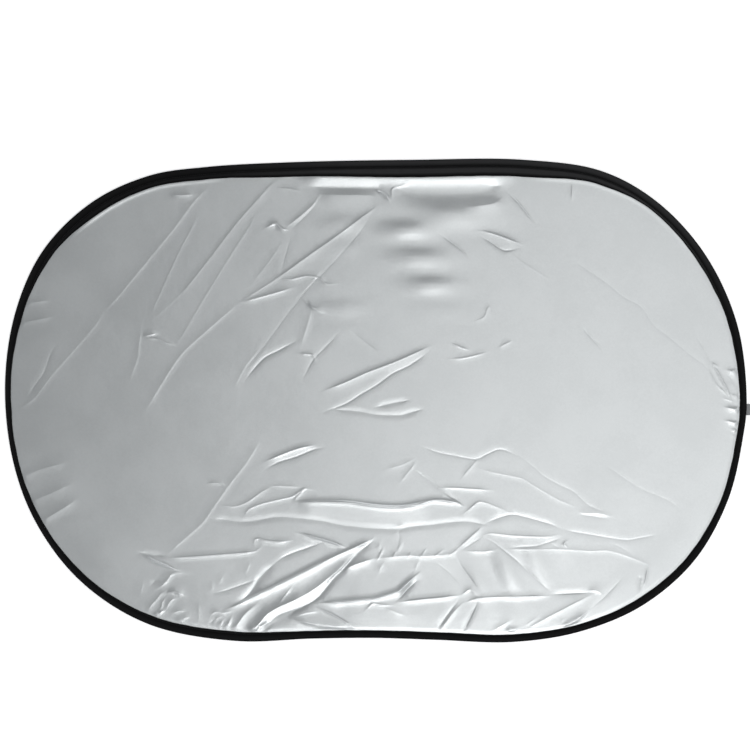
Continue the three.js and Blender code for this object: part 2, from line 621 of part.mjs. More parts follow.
// Panel: three rings run from the cloth's cut edge, inside the tape, to just past the
// tape's front flap, and a creased sheet fills the rest
function makePanel() {
  const rings = [
    (station) => wireDepth(station) + pocketRadius(station) + CLOTH_EDGE_TO_POCKET,
    (station) => seamDepth(station),
    (station) => station.front + CLOTH_RING_PAST_TAPE,
  ].map((depth) => STATIONS.map((station) => sectionPoint(station, depth(station), 0)));
  const outline = rings[2];
  const inner = panelPoints(outline);
  const middle = [...rings.flat()];
  inner.forEach(({ x, y }) => {
    middle.push(new THREE.Vector3(x, y, clothHeight(x, y, distanceInside(outline, x, y))));
  });

  const count = STATIONS.length;
  const faces = [];
  for (let ring = 0; ring < 2; ring += 1) {
    for (let i = 0; i < count; i += 1) {
      const k = (i + 1) % count;
      const a = ring * count;
      const b = a + count;
      faces.push([a + i, a + k, b + k], [a + i, b + k, b + i]);
    }
  }
  const sheet = middle.slice(2 * count);
  triangulate(sheet).forEach(([a, b, c]) => {
    const x = (sheet[a].x + sheet[b].x + sheet[c].x) / 3;
    const y = (sheet[a].y + sheet[b].y + sheet[c].y) / 3;
    if (distanceInside(outline, x, y) > 0) {
      faces.push([a, b, c].map((corner) => corner + 2 * count));
    }
  });

  const half = new THREE.Vector3(0, 0, CLOTH_THICKNESS / 2);
  const top = middle.map((p) => p.clone().add(half));
  const bottom = middle.map((p) => p.clone().sub(half));
  const upward = ([a, b, c]) => {
    const turn = (middle[b].x - middle[a].x) * (middle[c].y - middle[a].y)
      - (middle[c].x - middle[a].x) * (middle[b].y - middle[a].y);
    return turn > 0 ? [a, b, c] : [a, c, b];
  };
  const upper = faces.map(upward);
  const lower = upper.map(([a, b, c]) => [a, c, b].map((corner) => corner + middle.length));
  const wall = [];
  for (let i = 0; i < count; i += 1) {
    const k = (i + 1) % count;
    wall.push([i, i + middle.length, k + middle.length], [i, k + middle.length, k]);
  }
  return makeGeometry([...top, ...bottom], [...upper, ...lower, ...wall]);
}

function named(name, geometry, material) {
  const mesh = new THREE.Mesh(geometry, material);
  mesh.name = name;
  return mesh;
}

const panel = named('shade_panel', makePanel(), materials.cloth);
const tape = named('edge_binding', makeTape(), materials.tape);
const wire = named('spring_wire', makeWire(), materials.wire);

const sleeve = named('wire_ferrule', makeSleeve(), materials.sleeve);
const sleeveStation = STATIONS[SLEEVE_STATION];
sleeve.position.copy(sectionPoint(sleeveStation, wireDepth(sleeveStation), 0));
sleeve.rotation.z = Math.atan2(sleeveStation.out.y, sleeveStation.out.x);

const band = named('keeper_band', makeBand(), materials.elastic);
band.position.set(HALF_WIDTH, BAND_PLACE_Y, 0);

const shade = new THREE.Group();
shade.add(panel, tape, wire, sleeve, band);

// The origin is the middle of the whole shade's footprint, on the floor
const footprint = new THREE.Box3().setFromObject(shade).getCenter(new THREE.Vector3());
shade.position.set(-footprint.x, -footprint.y, 0);

export default shade;
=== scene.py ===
"""Looks of a car sunshade that lies on a pale floor, seen from above.

A silver cloth is held open by a sprung wire hoop. Black tape is folded round its edge
and stitched down, and a grey elastic loop sticks out at one end. The cloth keeps the
creases of having been twisted into rings and put away.

Shapes are worked out in millimetres round the middle of the hoop, with X along the shade
and Y towards the edge that has the wide tape, and are moved to the shared frame last.
"""

import logging
import math
from dataclasses import dataclass
from enum import Enum
from typing import Sequence, Union

import bpy
import numpy as np
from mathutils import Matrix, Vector
from mathutils.geometry import delaunay_2d_cdt


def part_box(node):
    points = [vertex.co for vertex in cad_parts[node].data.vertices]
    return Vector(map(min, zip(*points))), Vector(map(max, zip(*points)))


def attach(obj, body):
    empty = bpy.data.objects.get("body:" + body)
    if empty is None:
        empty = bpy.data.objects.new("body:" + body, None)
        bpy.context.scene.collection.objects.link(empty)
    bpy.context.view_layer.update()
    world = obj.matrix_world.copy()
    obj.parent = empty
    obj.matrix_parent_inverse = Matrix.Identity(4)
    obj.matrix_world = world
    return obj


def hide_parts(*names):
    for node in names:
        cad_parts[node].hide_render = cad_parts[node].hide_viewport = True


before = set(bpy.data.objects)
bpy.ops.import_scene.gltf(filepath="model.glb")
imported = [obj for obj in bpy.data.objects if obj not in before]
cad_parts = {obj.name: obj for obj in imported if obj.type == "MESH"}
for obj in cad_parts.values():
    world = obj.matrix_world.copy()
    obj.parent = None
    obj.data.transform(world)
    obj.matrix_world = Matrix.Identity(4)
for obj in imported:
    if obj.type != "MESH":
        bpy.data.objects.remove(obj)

log = logging.getLogger("sunshade")

MM = 0.001
SEED = 7

# Widths of the slopes of thin creases
THIN_SLOPE = 3.6
GLINT_BACK_SLOPE = 12.0

# How evenly a slope runs down: 1 is a straight slope
SLOPE_POWER = 1.5

# A crease dies out at its ends, over this length and at most one part in three of its own,
# to this share of its height
CREASE_END = 30.0
CREASE_END_PART = 3
CREASE_END_SHARE = 0.12

# How far a crease's curve swings out at its points
CREASE_SWING = 0.42

# Most waves that a wobble is made of
MOST_WAVES = 48

# Side of the squares that sort the cloth's points, and places judged at a time
SQUARE = 6
BATCH = 4000

# Points nearer than this are one, and triangles smaller than this are left out
SAME_PLACE = 1e-4
LEAST_TURN = 1e-6

# Height of a row of a grid of equal triangles, as a share of their side
ROW_HEIGHT = 0.866


class Node(str, Enum):
    """Names of the CAD nodes."""

    PANEL = "shade_panel"
    BINDING = "edge_binding"
    WIRE = "spring_wire"
    FERRULE = "wire_ferrule"
    BAND = "keeper_band"


class Slot(str, Enum):
    """Material slots of the record."""

    CLOTH = "silver_cloth"
    TAPE = "black_tape"
    STEEL = "spring_steel"
    SLEEVE = "ferrule_metal"
    ELASTIC = "grey_elastic"


# Name of the number that the tape's points carry: painted light in its base colour, a painted highlight on
# the crests and painted shade in the seam and at the inner edge
PAINTED_LIGHT_NAME = "painted_light"

# Shader maths and materials


class Value:
    """An output socket of a shader that can be reckoned with."""

    def __init__(self, graph: "Graph", socket: bpy.types.NodeSocket) -> None:
        """Remembers the socket and the graph it is in."""
        self.graph = graph
        self.socket = socket

    def _math(self, operation: str, *others: "Number") -> "Value":
        """A Math node on this value and the others.

        Args:
            operation: What the node does.
            *others: Its other inputs.

        Returns:
            The node's output.
        """
        return self.graph.node(
            "ShaderNodeMath", {"operation": operation}, {0: self, **dict(enumerate(others, 1))}
        )

    def __add__(self, other: "Number") -> "Value":
        """self + other."""
        return self._math("ADD", other)

    def __mul__(self, other: "Number") -> "Value":
        """self * other."""
        return self._math("MULTIPLY", other)

    __radd__ = __add__
    __rmul__ = __mul__

    def sine(self) -> "Value":
        """Sine of self in radians."""
        return self._math("SINE")

    def absolute(self) -> "Value":
        """self without its sign."""
        return self._math("ABSOLUTE")

    def ramp(self, low: float, high: float) -> "Value":
        """0 below low, 1 above high and smooth between them.

        Args:
            low: Where it starts to rise.
            high: Where it reaches 1.

        Returns:
            Shares between 0 and 1.
        """
        return self.graph.node(
            "ShaderNodeMapRange",
            {"interpolation_type": "SMOOTHSTEP"},
            {"Value": self, "From Min": low, "From Max": high},
        )


Number = Union[Value, float]


class Graph:
    """The node tree of a material, with one Principled shader."""

    def __init__(self, name: str) -> None:
        """Makes an empty material that holds the shader and its output.

        Args:
            name: Name of the material.
        """
        self.material = bpy.data.materials.new(name)
        self.material.use_nodes = True
        self.tree = self.material.node_tree
        self.tree.nodes.clear()
        output = self.tree.nodes.new("ShaderNodeOutputMaterial")
        self.shader = self.tree.nodes.new("ShaderNodeBsdfPrincipled")
        self.tree.links.new(self.shader.outputs[0], output.inputs["Surface"])

    def node(
        self, kind: str, settings: dict[str, object], inputs: dict, output: Union[int, str] = 0
    ) -> Value:
        """Adds a node, sets it and links or fills its inputs.

        Args:
            kind: Type of the node.
            settings: Attributes of the node, set before its inputs.
            inputs: Values or plain numbers by input name or index.
            output: Name or index of the output to give back.

        Returns:
            The chosen output.
        """
        made = self.tree.nodes.new(kind)
        for name, setting in settings.items():
            setattr(made, name, setting)
        for name, given in inputs.items():
            if isinstance(given, Value):
                self.tree.links.new(given.socket, made.inputs[name])
            else:
                made.inputs[name].default_value = given
        return Value(self, made.outputs[output])

    def place(self) -> Value:
        """Object coordinates of the point, in metres."""
        return self.node("ShaderNodeTexCoord", {}, {}, "Object")

    def uv(self) -> Value:
        """The piece's own UV coordinates, in metres."""
        return self.node("ShaderNodeUVMap", {}, {})

    def attribute(self, name: str) -> Value:
        """A number that the mesh carries at its points."""
        settings = {"attribute_type": "GEOMETRY", "attribute_name": name}
        return self.node("ShaderNodeAttribute", settings, {}, "Fac")

    def parts(self, vector: Value) -> tuple[Value, Value, Value]:
        """The three numbers of a vector.

        Args:
            vector: The vector.

        Returns:
            Its X, Y and Z.
        """
        split = self.node("ShaderNodeSeparateXYZ", {}, {0: vector})
        outputs = split.socket.node.outputs
        return Value(self, outputs[0]), Value(self, outputs[1]), Value(self, outputs[2])

    def noise(self, vector: Value, scale: float, detail: float = 2.0, rough: float = 0.5) -> Value:
        """Noise between 0 and 1.

        Args:
            vector: Where to read it.
            scale: Features per metre.
            detail: Octaves.
            rough: Share of the finer octaves.

        Returns:
            The noise.
        """
        inputs = {"Vector": vector, "Scale": scale, "Detail": detail, "Roughness": rough}
        return self.node("ShaderNodeTexNoise", {}, inputs)

    def blend(self, share: Number, low: Sequence[float], high: Sequence[float]) -> Value:
        """A colour between two others.

        Args:
            share: 0 for low, 1 for high.
            low: First colour, red, green and blue.
            high: Second colour.

        Returns:
            The colour.
        """
        inputs = {"Factor": share, 6: (*low, 1.0), 7: (*high, 1.0)}
        return self.node("ShaderNodeMix", {"data_type": "RGBA"}, inputs, 2)

    def bump(self, height: Value, distance: float, strength: float = 1.0) -> Value:
        """A normal bent by a height.

        Args:
            height: Height as a share of the distance.
            distance: Height of 1, in metres.
            strength: How much of the bend is taken.

        Returns:
            The normal.
        """
        inputs = {"Height": height, "Distance": distance, "Strength": strength}
        return self.node("ShaderNodeBump", {}, inputs)

    def drive(self, socket: str, value: Value) -> None:
        """Links a value to one of the shader's sockets."""
        self.tree.links.new(value.socket, self.shader.inputs[socket])

    def fix(self, **constants: object) -> None:
        """Sets sockets of the shader, named with _ for a space."""
        for name, constant in constants.items():
            self.shader.inputs[name.replace("_", " ")].default_value = constant


@dataclass(frozen=True)
class Finish:
    """A finish that can be made into a material.

    Attributes:
        name: Name of the material.
        low: Darkest tint.
        high: Lightest tint.
        roughness: Roughness of the surface.
        metallic: How much it is a metal.
    """

    name: str
    low: tuple[float, float, float]
    high: tuple[float, float, float]
    roughness: float
    metallic: float = 0.0

    def start(self) -> Graph:
        """A graph with the finish's constants set.

        Returns:
            The graph, to be wired further.
        """
        graph = Graph(self.name)
        graph.fix(Roughness=self.roughness, Metallic=self.metallic)
        return graph


@dataclass(frozen=True)
class SilverFinish(Finish):
    """Metal coated cloth: softly shiny, faintly mottled, woven very finely.

    Attributes:
        clouds: Clouds of tint per metre.
        grains: Grains of tint per metre.
        grain_share: Share of the grain in the tint.
        gloss_spread: How much the roughness varies from cloud to cloud.
        crumples: Fine crumples per metre.
        crumple: Height of the fine crumples, in metres.
        weave: Height of the weave, in metres.
        threads: Threads per metre.
        tint_range: Where in the mottling the darkest tint ends and the lightest starts.
    """

    clouds: float = 9.0
    grains: float = 260.0
    grain_share: float = 0.3
    gloss_spread: float = 0.08
    crumples: float = 55.0
    crumple: float = 0.00022
    weave: float = 0.00001
    threads: float = 1500.0
    tint_range: tuple[float, float] = (0.35, 0.65)

    def make(self) -> bpy.types.Material:
        """Wires the material.

        Returns:
            The material.
        """
        graph = self.start()
        place = graph.place()
        x, y, _ = graph.parts(place)
        cloudy = graph.noise(place, self.clouds, 3.0)
        grainy = graph.noise(place, self.grains, 2.0)
        mixed = cloudy * (1 - self.grain_share) + grainy * self.grain_share
        graph.drive("Base Color", graph.blend(mixed.ramp(*self.tint_range), self.low, self.high))
        graph.drive("Roughness", cloudy * self.gloss_spread + (self.roughness - self.gloss_spread / 2))
        crumple = graph.noise(place, self.crumples, 4.0, 0.55)
        turn = 2 * math.pi * self.threads
        weave = (x * turn).sine() * (y * turn).sine()
        low = graph.bump(crumple, self.crumple)
        normal = graph.node(
            "ShaderNodeBump", {}, {"Height": weave, "Distance": self.weave, "Normal": low}
        )
        graph.drive("Normal", normal)
        return graph.material


@dataclass(frozen=True)
class TapeFinish(Finish):
    """Woven tape, whose UV runs along it and across it in metres.

    Attributes:
        ribs: Ribs per metre across the tape's length.
        rows: Ribs per metre the other way, as a share of the ribs.
        fuzz: Tufts of fuzz per metre.
        weave_share: Height of the ribs beside that of the fuzz.
        depth: Height of the fuzz, in metres.
        patches: Patches of the painted highlight per metre.
        patchy: How much the painted highlight varies from patch to patch.
        sheen: Soft shine of the fibres.
        sheen_roughness: How wide the soft shine is.
        gleam: Strength of the plain reflection.
    """

    ribs: float = 900.0
    rows: float = 0.7
    fuzz: float = 900.0
    weave_share: float = 0.5
    depth: float = 0.00006
    patches: float = 24.0
    patchy: float = 0.5
    sheen: float = 0.02
    sheen_roughness: float = 0.5
    gleam: float = 0.07

    def make(self) -> bpy.types.Material:
        """Wires the material.

        Returns:
            The material.
        """
        graph = self.start()
        along, across, _ = graph.parts(graph.uv())
        turn = 2 * math.pi * self.ribs
        weave = (along * turn).sine() * (across * (turn * self.rows)).sine()
        fuzz = graph.noise(graph.place(), self.fuzz, 3.0, 0.6)
        patch = graph.noise(graph.place(), self.patches, 2.0) * self.patchy + (1 - self.patchy / 2)
        # Base colour carries painted light: a painted highlight on the crests of the roll and flap, painted
        # shade in the seam and at the inner edge
        graph.drive("Base Color", graph.blend(graph.attribute(PAINTED_LIGHT_NAME) * patch, self.low, self.high))
        graph.drive("Normal", graph.bump(weave * self.weave_share + fuzz, self.depth))
        graph.fix(Sheen_Weight=self.sheen, Sheen_Roughness=self.sheen_roughness)
        graph.fix(Specular_IOR_Level=self.gleam)
        return graph.material


@dataclass(frozen=True)
class ElasticFinish(Finish):
    """Knitted elastic: cords lengthwise, with fine stitches across them.

    Attributes:
        cords: Cords per metre of width.
        slant: Turns of the slanted stitches per metre along and across, in radians.
        cord_share: Share of the cords in the relief.
        depth: Height of the relief, in metres.
        sheen: Soft shine of the fibres.
    """

    cords: float = 700.0
    slant: tuple[float, float] = (4200.0, 2600.0)
    cord_share: float = 0.7
    depth: float = 0.00018
    sheen: float = 0.2

    def make(self) -> bpy.types.Material:
        """Wires the material.

        Returns:
            The material.
        """
        graph = self.start()
        along, across, _ = graph.parts(graph.uv())
        cord = (across * (math.pi * self.cords)).sine().absolute()
        slant = (along * self.slant[0] + across * self.slant[1]).sine().absolute()
        height = cord * self.cord_share + slant * (1 - self.cord_share)
        # Tint is darker down in the grooves and lighter on the cords: painted shade in the grooves
        graph.drive("Base Color", graph.blend(height, self.low, self.high))
        graph.drive("Normal", graph.bump(height, self.depth))
        graph.fix(Sheen_Weight=self.sheen)
        return graph.material


@dataclass(frozen=True)
class MetalFinish(Finish):
    """Drawn or pressed metal with fine streaks.

    Attributes:
        streaks: Streaks per metre.
        gloss_spread: How much the roughness varies from streak to streak.
        tint_range: Where in the streaks the darkest tint ends and the lightest starts.
    """

    streaks: float = 400.0
    gloss_spread: float = 0.12
    tint_range: tuple[float, float] = (0.3, 0.7)

    def make(self) -> bpy.types.Material:
        """Wires the material.

        Returns:
            The material.
        """
        graph = self.start()
        streaks = graph.noise(graph.place(), self.streaks, 2.0)
        graph.drive("Base Color", graph.blend(streaks.ramp(*self.tint_range), self.low, self.high))
        graph.drive("Roughness", streaks * self.gloss_spread + (self.roughness - self.gloss_spread / 2))
        return graph.material


@dataclass(frozen=True)
class PlainFinish(Finish):
    """An even surface."""

    def make(self) -> bpy.types.Material:
        """Wires the material.

        Returns:
            The material.
        """
        graph = self.start()
        graph.fix(Base_Color=(*self.high, 1.0))
        return graph.material


@dataclass(frozen=True)
class FloorFinish(Finish):
    """A pale floor that is lit a little from below, as a light table is.

    Attributes:
        glow: Its own brightness.
    """

    glow: float = 0.42

    def make(self) -> bpy.types.Material:
        """Wires the material.

        Returns:
            The material.
        """
        graph = self.start()
        graph.fix(Base_Color=(*self.high, 1.0), Emission_Color=(1.0, 1.0, 1.0, 1.0))
        graph.fix(Emission_Strength=self.glow)
        return graph.material


@dataclass(frozen=True)
class Palette:
    """The finishes of the shade and the floor."""

    silver: Finish = SilverFinish("Silver Cloth", (0.596, 0.617, 0.621), (0.636, 0.657, 0.661), 0.35, 0.85)
    back: Finish = SilverFinish("Silver Cloth Back", (0.34, 0.35, 0.36), (0.40, 0.41, 0.42), 0.55, 0.45)
    # The tape's two tints span its painted light: the dark one is painted shade, the light one painted
    # highlight
    tape: Finish = TapeFinish("Black Tape", (0.0012, 0.0012, 0.0014), (0.026, 0.026, 0.027), 0.7)
    thread: Finish = PlainFinish("Black Thread", (0.01, 0.01, 0.01), (0.016, 0.016, 0.017), 0.55)
    elastic: Finish = ElasticFinish("Grey Elastic", (0.16, 0.165, 0.17), (0.30, 0.305, 0.31), 0.85)
    steel: Finish = MetalFinish("Spring Steel", (0.36, 0.37, 0.39), (0.46, 0.47, 0.49), 0.34, 1.0)
    sleeve: Finish = MetalFinish("Sleeve Metal", (0.60, 0.61, 0.63), (0.70, 0.71, 0.73), 0.42, 1.0)
    floor: Finish = FloorFinish("Pale Floor", (0.9, 0.9, 0.9), (0.94, 0.94, 0.94), 0.9)


# The hoop


# Anchors of the outline: shares of the half width and half height, and how far the tape
# reaches in over the front
HOOP_ANCHORS = (
    (1.0, 0.0, 12.3), (0.9755, 0.314, 15), (0.891, 0.602, 18), (0.762, 0.822, 17.8),
    (0.61, 0.953, 24.4), (0.4, 1.0, 30.4), (0.1, 1.0, 31.2), (-0.23, 0.99, 26),
    (-0.46, 0.97, 22.2), (-0.61, 0.935, 21.8), (-0.764, 0.826, 23.6), (-0.895, 0.63, 18.6),
    (-0.97, 0.38, 14), (-1.0, 0.08, 10.6), (-0.98, -0.24, 9.6), (-0.9155, -0.508, 11.2),
    (-0.793, -0.752, 13.6), (-0.6135, -0.925, 16), (-0.38, -0.9945, 16.6), (-0.17, -0.985, 13.8),
    (0.0, -0.982, 13.5), (0.16, -0.99, 13.6), (0.37, -0.999, 13.6), (0.5507, -0.956, 13),
    (0.72, -0.847, 14.3), (0.86, -0.66, 14), (0.95, -0.41, 12), (0.99, -0.15, 11.6),
)


def smooth(low: float, high: float, value: np.ndarray) -> np.ndarray:
    """0 below low, 1 above high and smooth between them.

    Args:
        low: Where it starts to rise.
        high: Where it reaches 1.
        value: Numbers to judge.

    Returns:
        Shares between 0 and 1.
    """
    share = np.clip((value - low) / (high - low), 0.0, 1.0)
    return share * share * (3 - 2 * share)


def directions(path: np.ndarray) -> np.ndarray:
    """Unit directions along a path, a row per point."""
    way = np.gradient(path, axis=0)
    return way / np.linalg.norm(way, axis=1)[:, None]


def curve(
    start: np.ndarray, end: np.ndarray, leave: np.ndarray, arrive: np.ndarray, share: np.ndarray
) -> tuple[np.ndarray, np.ndarray]:
    """A smooth curve between two points.

    Args:
        start: First point.
        end: Last point.
        leave: Direction and speed at the first point.
        arrive: Direction and speed at the last point.
        share: Shares of the way, one in a row.

    Returns:
        The places on the curve and the directions there.
    """
    square = -3 * start + 3 * end - 2 * leave - arrive
    cube = 2 * start - 2 * end + leave + arrive
    places = start + leave * share + square * share**2 + cube * share**3
    return places, leave + 2 * square * share + 3 * cube * share**2


class Wobble:
    """Smooth random numbers round a closed path."""

    def __init__(self, rng: np.random.Generator, length: float, longest: float, shortest: float) -> None:
        """Draws the waves.

        Args:
            rng: Source of the random numbers.
            length: Length of the closed path.
            longest: Longest wave.
            shortest: Shortest wave.
        """
        self.length = length
        first = max(1, int(length / longest))
        last = int(length / shortest)
        count = min(MOST_WAVES, last - first + 1)
        self.turns = rng.choice(np.arange(first, last + 1), count, replace=False)
        self.shift = rng.uniform(0, 2 * math.pi, count)
        self.size = rng.uniform(0.5, 1.0, count)
        self.size /= math.sqrt(float((self.size**2).sum()) / 2)

    def at(self, along: np.ndarray) -> np.ndarray:
        """Numbers of spread 1 round 0.

        Args:
            along: Lengths along the path.

        Returns:
            A number for each length.
        """
        phase = 2 * math.pi * np.outer(along / self.length, self.turns) + self.shift
        return np.sin(phase) @ self.size


@dataclass(frozen=True)
class Lift:
    """A stretch of the top edge where the slack cloth pushes the tape up, in millimetres.

    Attributes:
        start: Where it starts along the shade.
        end: Where it ends.
        height: How far the tape stands up.
        fall: Over what distance past the tape the cloth comes down again.
    """

    start: float
    end: float
    height: float
    fall: float


@dataclass(frozen=True)
class HoopSize:
    """Sizes of the hoop and of the tape round it, in millimetres.

    Attributes:
        width: Width of the outline at its anchors.
        height: Height of the outline at its anchors.
        wire: Thickness of the wire.
        sleeve_radius: Outer radius of the sleeve that joins the wire's ends.
        sleeve_length: Length of the sleeve, and how far from its middle the pocket is wide.
        sleeve_run_out: Over what distance the pocket gets narrow again.
        sleeve_rise_reach: How far into the cloth the rise over the sleeve goes on.
        sleeve_anchor: Anchor of the outline that the sleeve is at.
        air: Gap between pieces.
        tape: Thickness of the tape.
        cloth: Thickness of the cloth.
        both_flaps: Depth of the front flap and of the back flap together.
        lifts: Stretches where the slack cloth pushes the tape up.
        lift_run_out: Over what length a lift rises and falls.
        seam: Depth of the seam.
        seam_from_end: Least distance of the seam from the front flap's inner edge.
        band_y: Place of the elastic loop across the shade.
        band_stack: Height of the two layers of elastic under the tape.
        band_reach: How far from the elastic the hoop still rides up.
        per_anchor: Stations from one anchor to the next.
    """

    width: float = 1300.0
    height: float = 846.0
    wire: float = 2.6
    sleeve_radius: float = 2.1
    sleeve_length: float = 30.0
    sleeve_run_out: float = 32.0
    sleeve_rise_reach: float = 120.0
    sleeve_anchor: int = 20
    air: float = 0.3
    tape: float = 0.6
    cloth: float = 0.4
    both_flaps: float = 48.0
    lifts: tuple[Lift, ...] = (
        Lift(-540, -260, 1.3, 5.0), Lift(-140, 250, 4.4, 16.0), Lift(262, 560, 0.9, 4.5)
    )
    lift_run_out: float = 45.0
    seam: float = 13.0
    seam_from_end: float = 1.5
    band_y: float = -15.0
    band_stack: float = 1.9
    band_reach: float = 250.0
    per_anchor: int = 40


class Hoop:
    """The hoop's outline and what follows from it at every station round it."""

    def __init__(self, size: HoopSize) -> None:
        """Draws the outline.

        Args:
            size: Sizes of the hoop.
        """
        self.size = size
        table = np.array(HOOP_ANCHORS)
        anchors = table[:, :2] * (size.width / 2, size.height / 2)
        places, ways = [], []
        count = len(anchors)
        shares = np.arange(size.per_anchor)[:, None] / size.per_anchor
        for i in range(count):
            p0, p1, p2, p3 = (anchors[(i + k - 1) % count] for k in range(4))
            gaps = (np.linalg.norm(b - a) for a, b in ((p0, p1), (p1, p2), (p2, p3)))
            d0, d1, d2 = (math.sqrt(float(gap)) for gap in gaps)
            leave = d1 * ((p1 - p0) / d0 - (p2 - p0) / (d0 + d1) + (p2 - p1) / d1)
            arrive = d1 * ((p2 - p1) / d1 - (p3 - p1) / (d1 + d2) + (p3 - p2) / d2)
            place, way = curve(p1, p2, leave, arrive, shares)
            places.append(place)
            ways.append(way)
        self.place = np.concatenate(places)
        way = np.concatenate(ways)
        way /= np.linalg.norm(way, axis=1)[:, None]
        self.out = np.stack([way[:, 1], -way[:, 0]], axis=1)
        steps = np.linalg.norm(np.roll(self.place, -1, axis=0) - self.place, axis=1)
        self.along = np.concatenate([[0.0], np.cumsum(steps)[:-1]])
        self.length = float(steps.sum())
        self.roll = size.wire / 2 + size.air + size.tape
        self.sleeve_place = self.place[size.sleeve_anchor * size.per_anchor]
        reach = table[:, 2]
        gain = np.roll(reach, -1) - reach
        self.front = (reach + gain * smooth(0, 1, shares)).T.ravel()
        self.seam = np.minimum(size.seam, self.front - size.seam_from_end)
        self.pocket = size.wire / 2 + size.air + self.sleeve_swell(self.place) * self.sleeve_gain
        self.middle = self.pocket + size.tape

    @property
    def sleeve_gain(self) -> float:
        """How much wider the pocket is over the sleeve than over the wire."""
        return self.size.sleeve_radius - self.size.wire / 2

    def sleeve_swell(self, xy: np.ndarray) -> np.ndarray:
        """Share of the tape's widening over the sleeve.

        Args:
            xy: Places, one in a row.

        Returns:
            1 at the sleeve and 0 away from it.
        """
        size = self.size
        away = smooth(
            size.sleeve_length,
            size.sleeve_length + size.sleeve_run_out,
            np.abs(xy[:, 0] - self.sleeve_place[0]),
        )
        inward = smooth(size.both_flaps, size.sleeve_rise_reach, xy[:, 1] - self.sleeve_place[1])
        return (1 - away) * (1 - inward)

    def level(self, xy: np.ndarray) -> np.ndarray:
        """Height of the plane through the wire's middle, which rides up over the elastic.

        Args:
            xy: Places, one in a row.

        Returns:
            Heights over the floor.
        """
        size = self.size
        along = np.minimum(1.0, np.abs(xy[:, 1] - size.band_y) / size.band_reach)
        inward = smooth(size.width / 2 - size.band_reach, size.width / 2 - size.both_flaps, xy[:, 0])
        band = (size.band_stack + size.air) * np.cos(along * math.pi / 2) ** 2 * inward
        return self.roll + self.sleeve_gain * self.sleeve_swell(xy) + band

    def lift(self, xy: np.ndarray, beyond: np.ndarray) -> np.ndarray:
        """How far the tape and the cloth beside it stand up along the top edge.

        Args:
            xy: Places, one in a row.
            beyond: How far each place is past the tape's inner edge.

        Returns:
            Heights.
        """
        total = np.zeros(len(xy))
        run = self.size.lift_run_out
        for one in self.size.lifts:
            up = smooth(one.start, one.start + run, xy[:, 0])
            down = 1 - smooth(one.end - run, one.end, xy[:, 0])
            total += one.height * up * down * np.clip(1 - beyond / one.fall, 0, 1)
        return total * (xy[:, 1] > 0)

    def ring(self, depth: np.ndarray) -> np.ndarray:
        """Points at a depth in from the outline.

        Args:
            depth: Depth at every station.

        Returns:
            One place per station.
        """
        return self.place - self.out * np.broadcast_to(depth, len(self.place))[:, None]

    def lowest_corner(self) -> np.ndarray:
        """Lower left corner of the outline."""
        coarse = self.place[:: self.size.per_anchor // 4]
        return coarse.min(axis=0)


class Inside:
    """Tells how far places are inside a closed outline."""

    def __init__(self, outline: np.ndarray) -> None:
        """Remembers the outline.

        Args:
            outline: Corners of the outline, anticlockwise.
        """
        self.start = outline
        self.leg = np.roll(outline, -1, axis=0) - outline

    def distance(self, xy: np.ndarray) -> np.ndarray:
        """Distances from the outline in millimetres, negative outside."""
        return self.measure(xy)[0]

    def measure(self, xy: np.ndarray) -> tuple[np.ndarray, np.ndarray]:
        """Distances from the outline, and which of its legs is nearest.

        Args:
            xy: Places, one in a row.

        Returns:
            Distances in millimetres, negative outside, and the number of a leg for each place.
        """
        parts = [self._few(xy[start : start + BATCH]) for start in range(0, len(xy), BATCH)]
        distances, legs = zip(*parts)
        return np.concatenate(distances), np.concatenate(legs)

    def _few(self, xy: np.ndarray) -> tuple[np.ndarray, np.ndarray]:
        """Distances and nearest legs of a few places.

        Args:
            xy: Places, one in a row.

        Returns:
            Distances, negative outside, and numbers of legs.
        """
        dx = xy[:, None, 0] - self.start[None, :, 0]
        dy = xy[:, None, 1] - self.start[None, :, 1]
        lx, ly = self.leg[:, 0], self.leg[:, 1]
        share = np.clip((dx * lx + dy * ly) / (lx**2 + ly**2), 0, 1)
        square = (dx - lx * share) ** 2 + (dy - ly * share) ** 2
        leg = square.argmin(axis=1)
        nearest = np.sqrt(square[np.arange(len(xy)), leg])
        over = (dy < 0) != (dy - ly < 0)
        with np.errstate(divide="ignore", invalid="ignore"):
            crossed = over & (dx < lx * dy / ly)
        return np.where(crossed.sum(axis=1) % 2 == 1, nearest, -nearest), leg


# Creases of the cloth


@dataclass(frozen=True)
class Crease:
    """A crease: a sharp crest, or a valley where the rise is negative, with two slopes.

    Attributes:
        rise: Height of the crest in millimetres.
        left: Width of the slope on the left of the way it runs.
        right: Width of the slope on its right.
        points: Where it runs.
    """

    rise: float
    left: float
    right: float
    points: tuple[tuple[float, float], ...]

    def path(self, step: float) -> np.ndarray:
        """The crease as a smooth line.

        Args:
            step: Distance between the points given back.

        Returns:
            Points along it.
        """
        ends = np.array(self.points, dtype=float)
        if len(ends) == 2:
            count = max(2, int(np.linalg.norm(ends[1] - ends[0]) / step) + 1)
            return ends[0] + (ends[1] - ends[0]) * np.linspace(0, 1, count)[:, None]
        padded = np.concatenate([[2 * ends[0] - ends[1]], ends, [2 * ends[-1] - ends[-2]]])
        out = []
        for i in range(1, len(padded) - 2):
            p0, p1, p2, p3 = padded[i - 1 : i + 3]
            count = max(1, int(np.linalg.norm(p2 - p1) / step))
            t = np.arange(count)[:, None] / count
            out.append(curve(p1, p2, (p2 - p0) * CREASE_SWING, (p3 - p1) * CREASE_SWING, t)[0])
        out.append(ends[-1:])
        return np.concatenate(out)


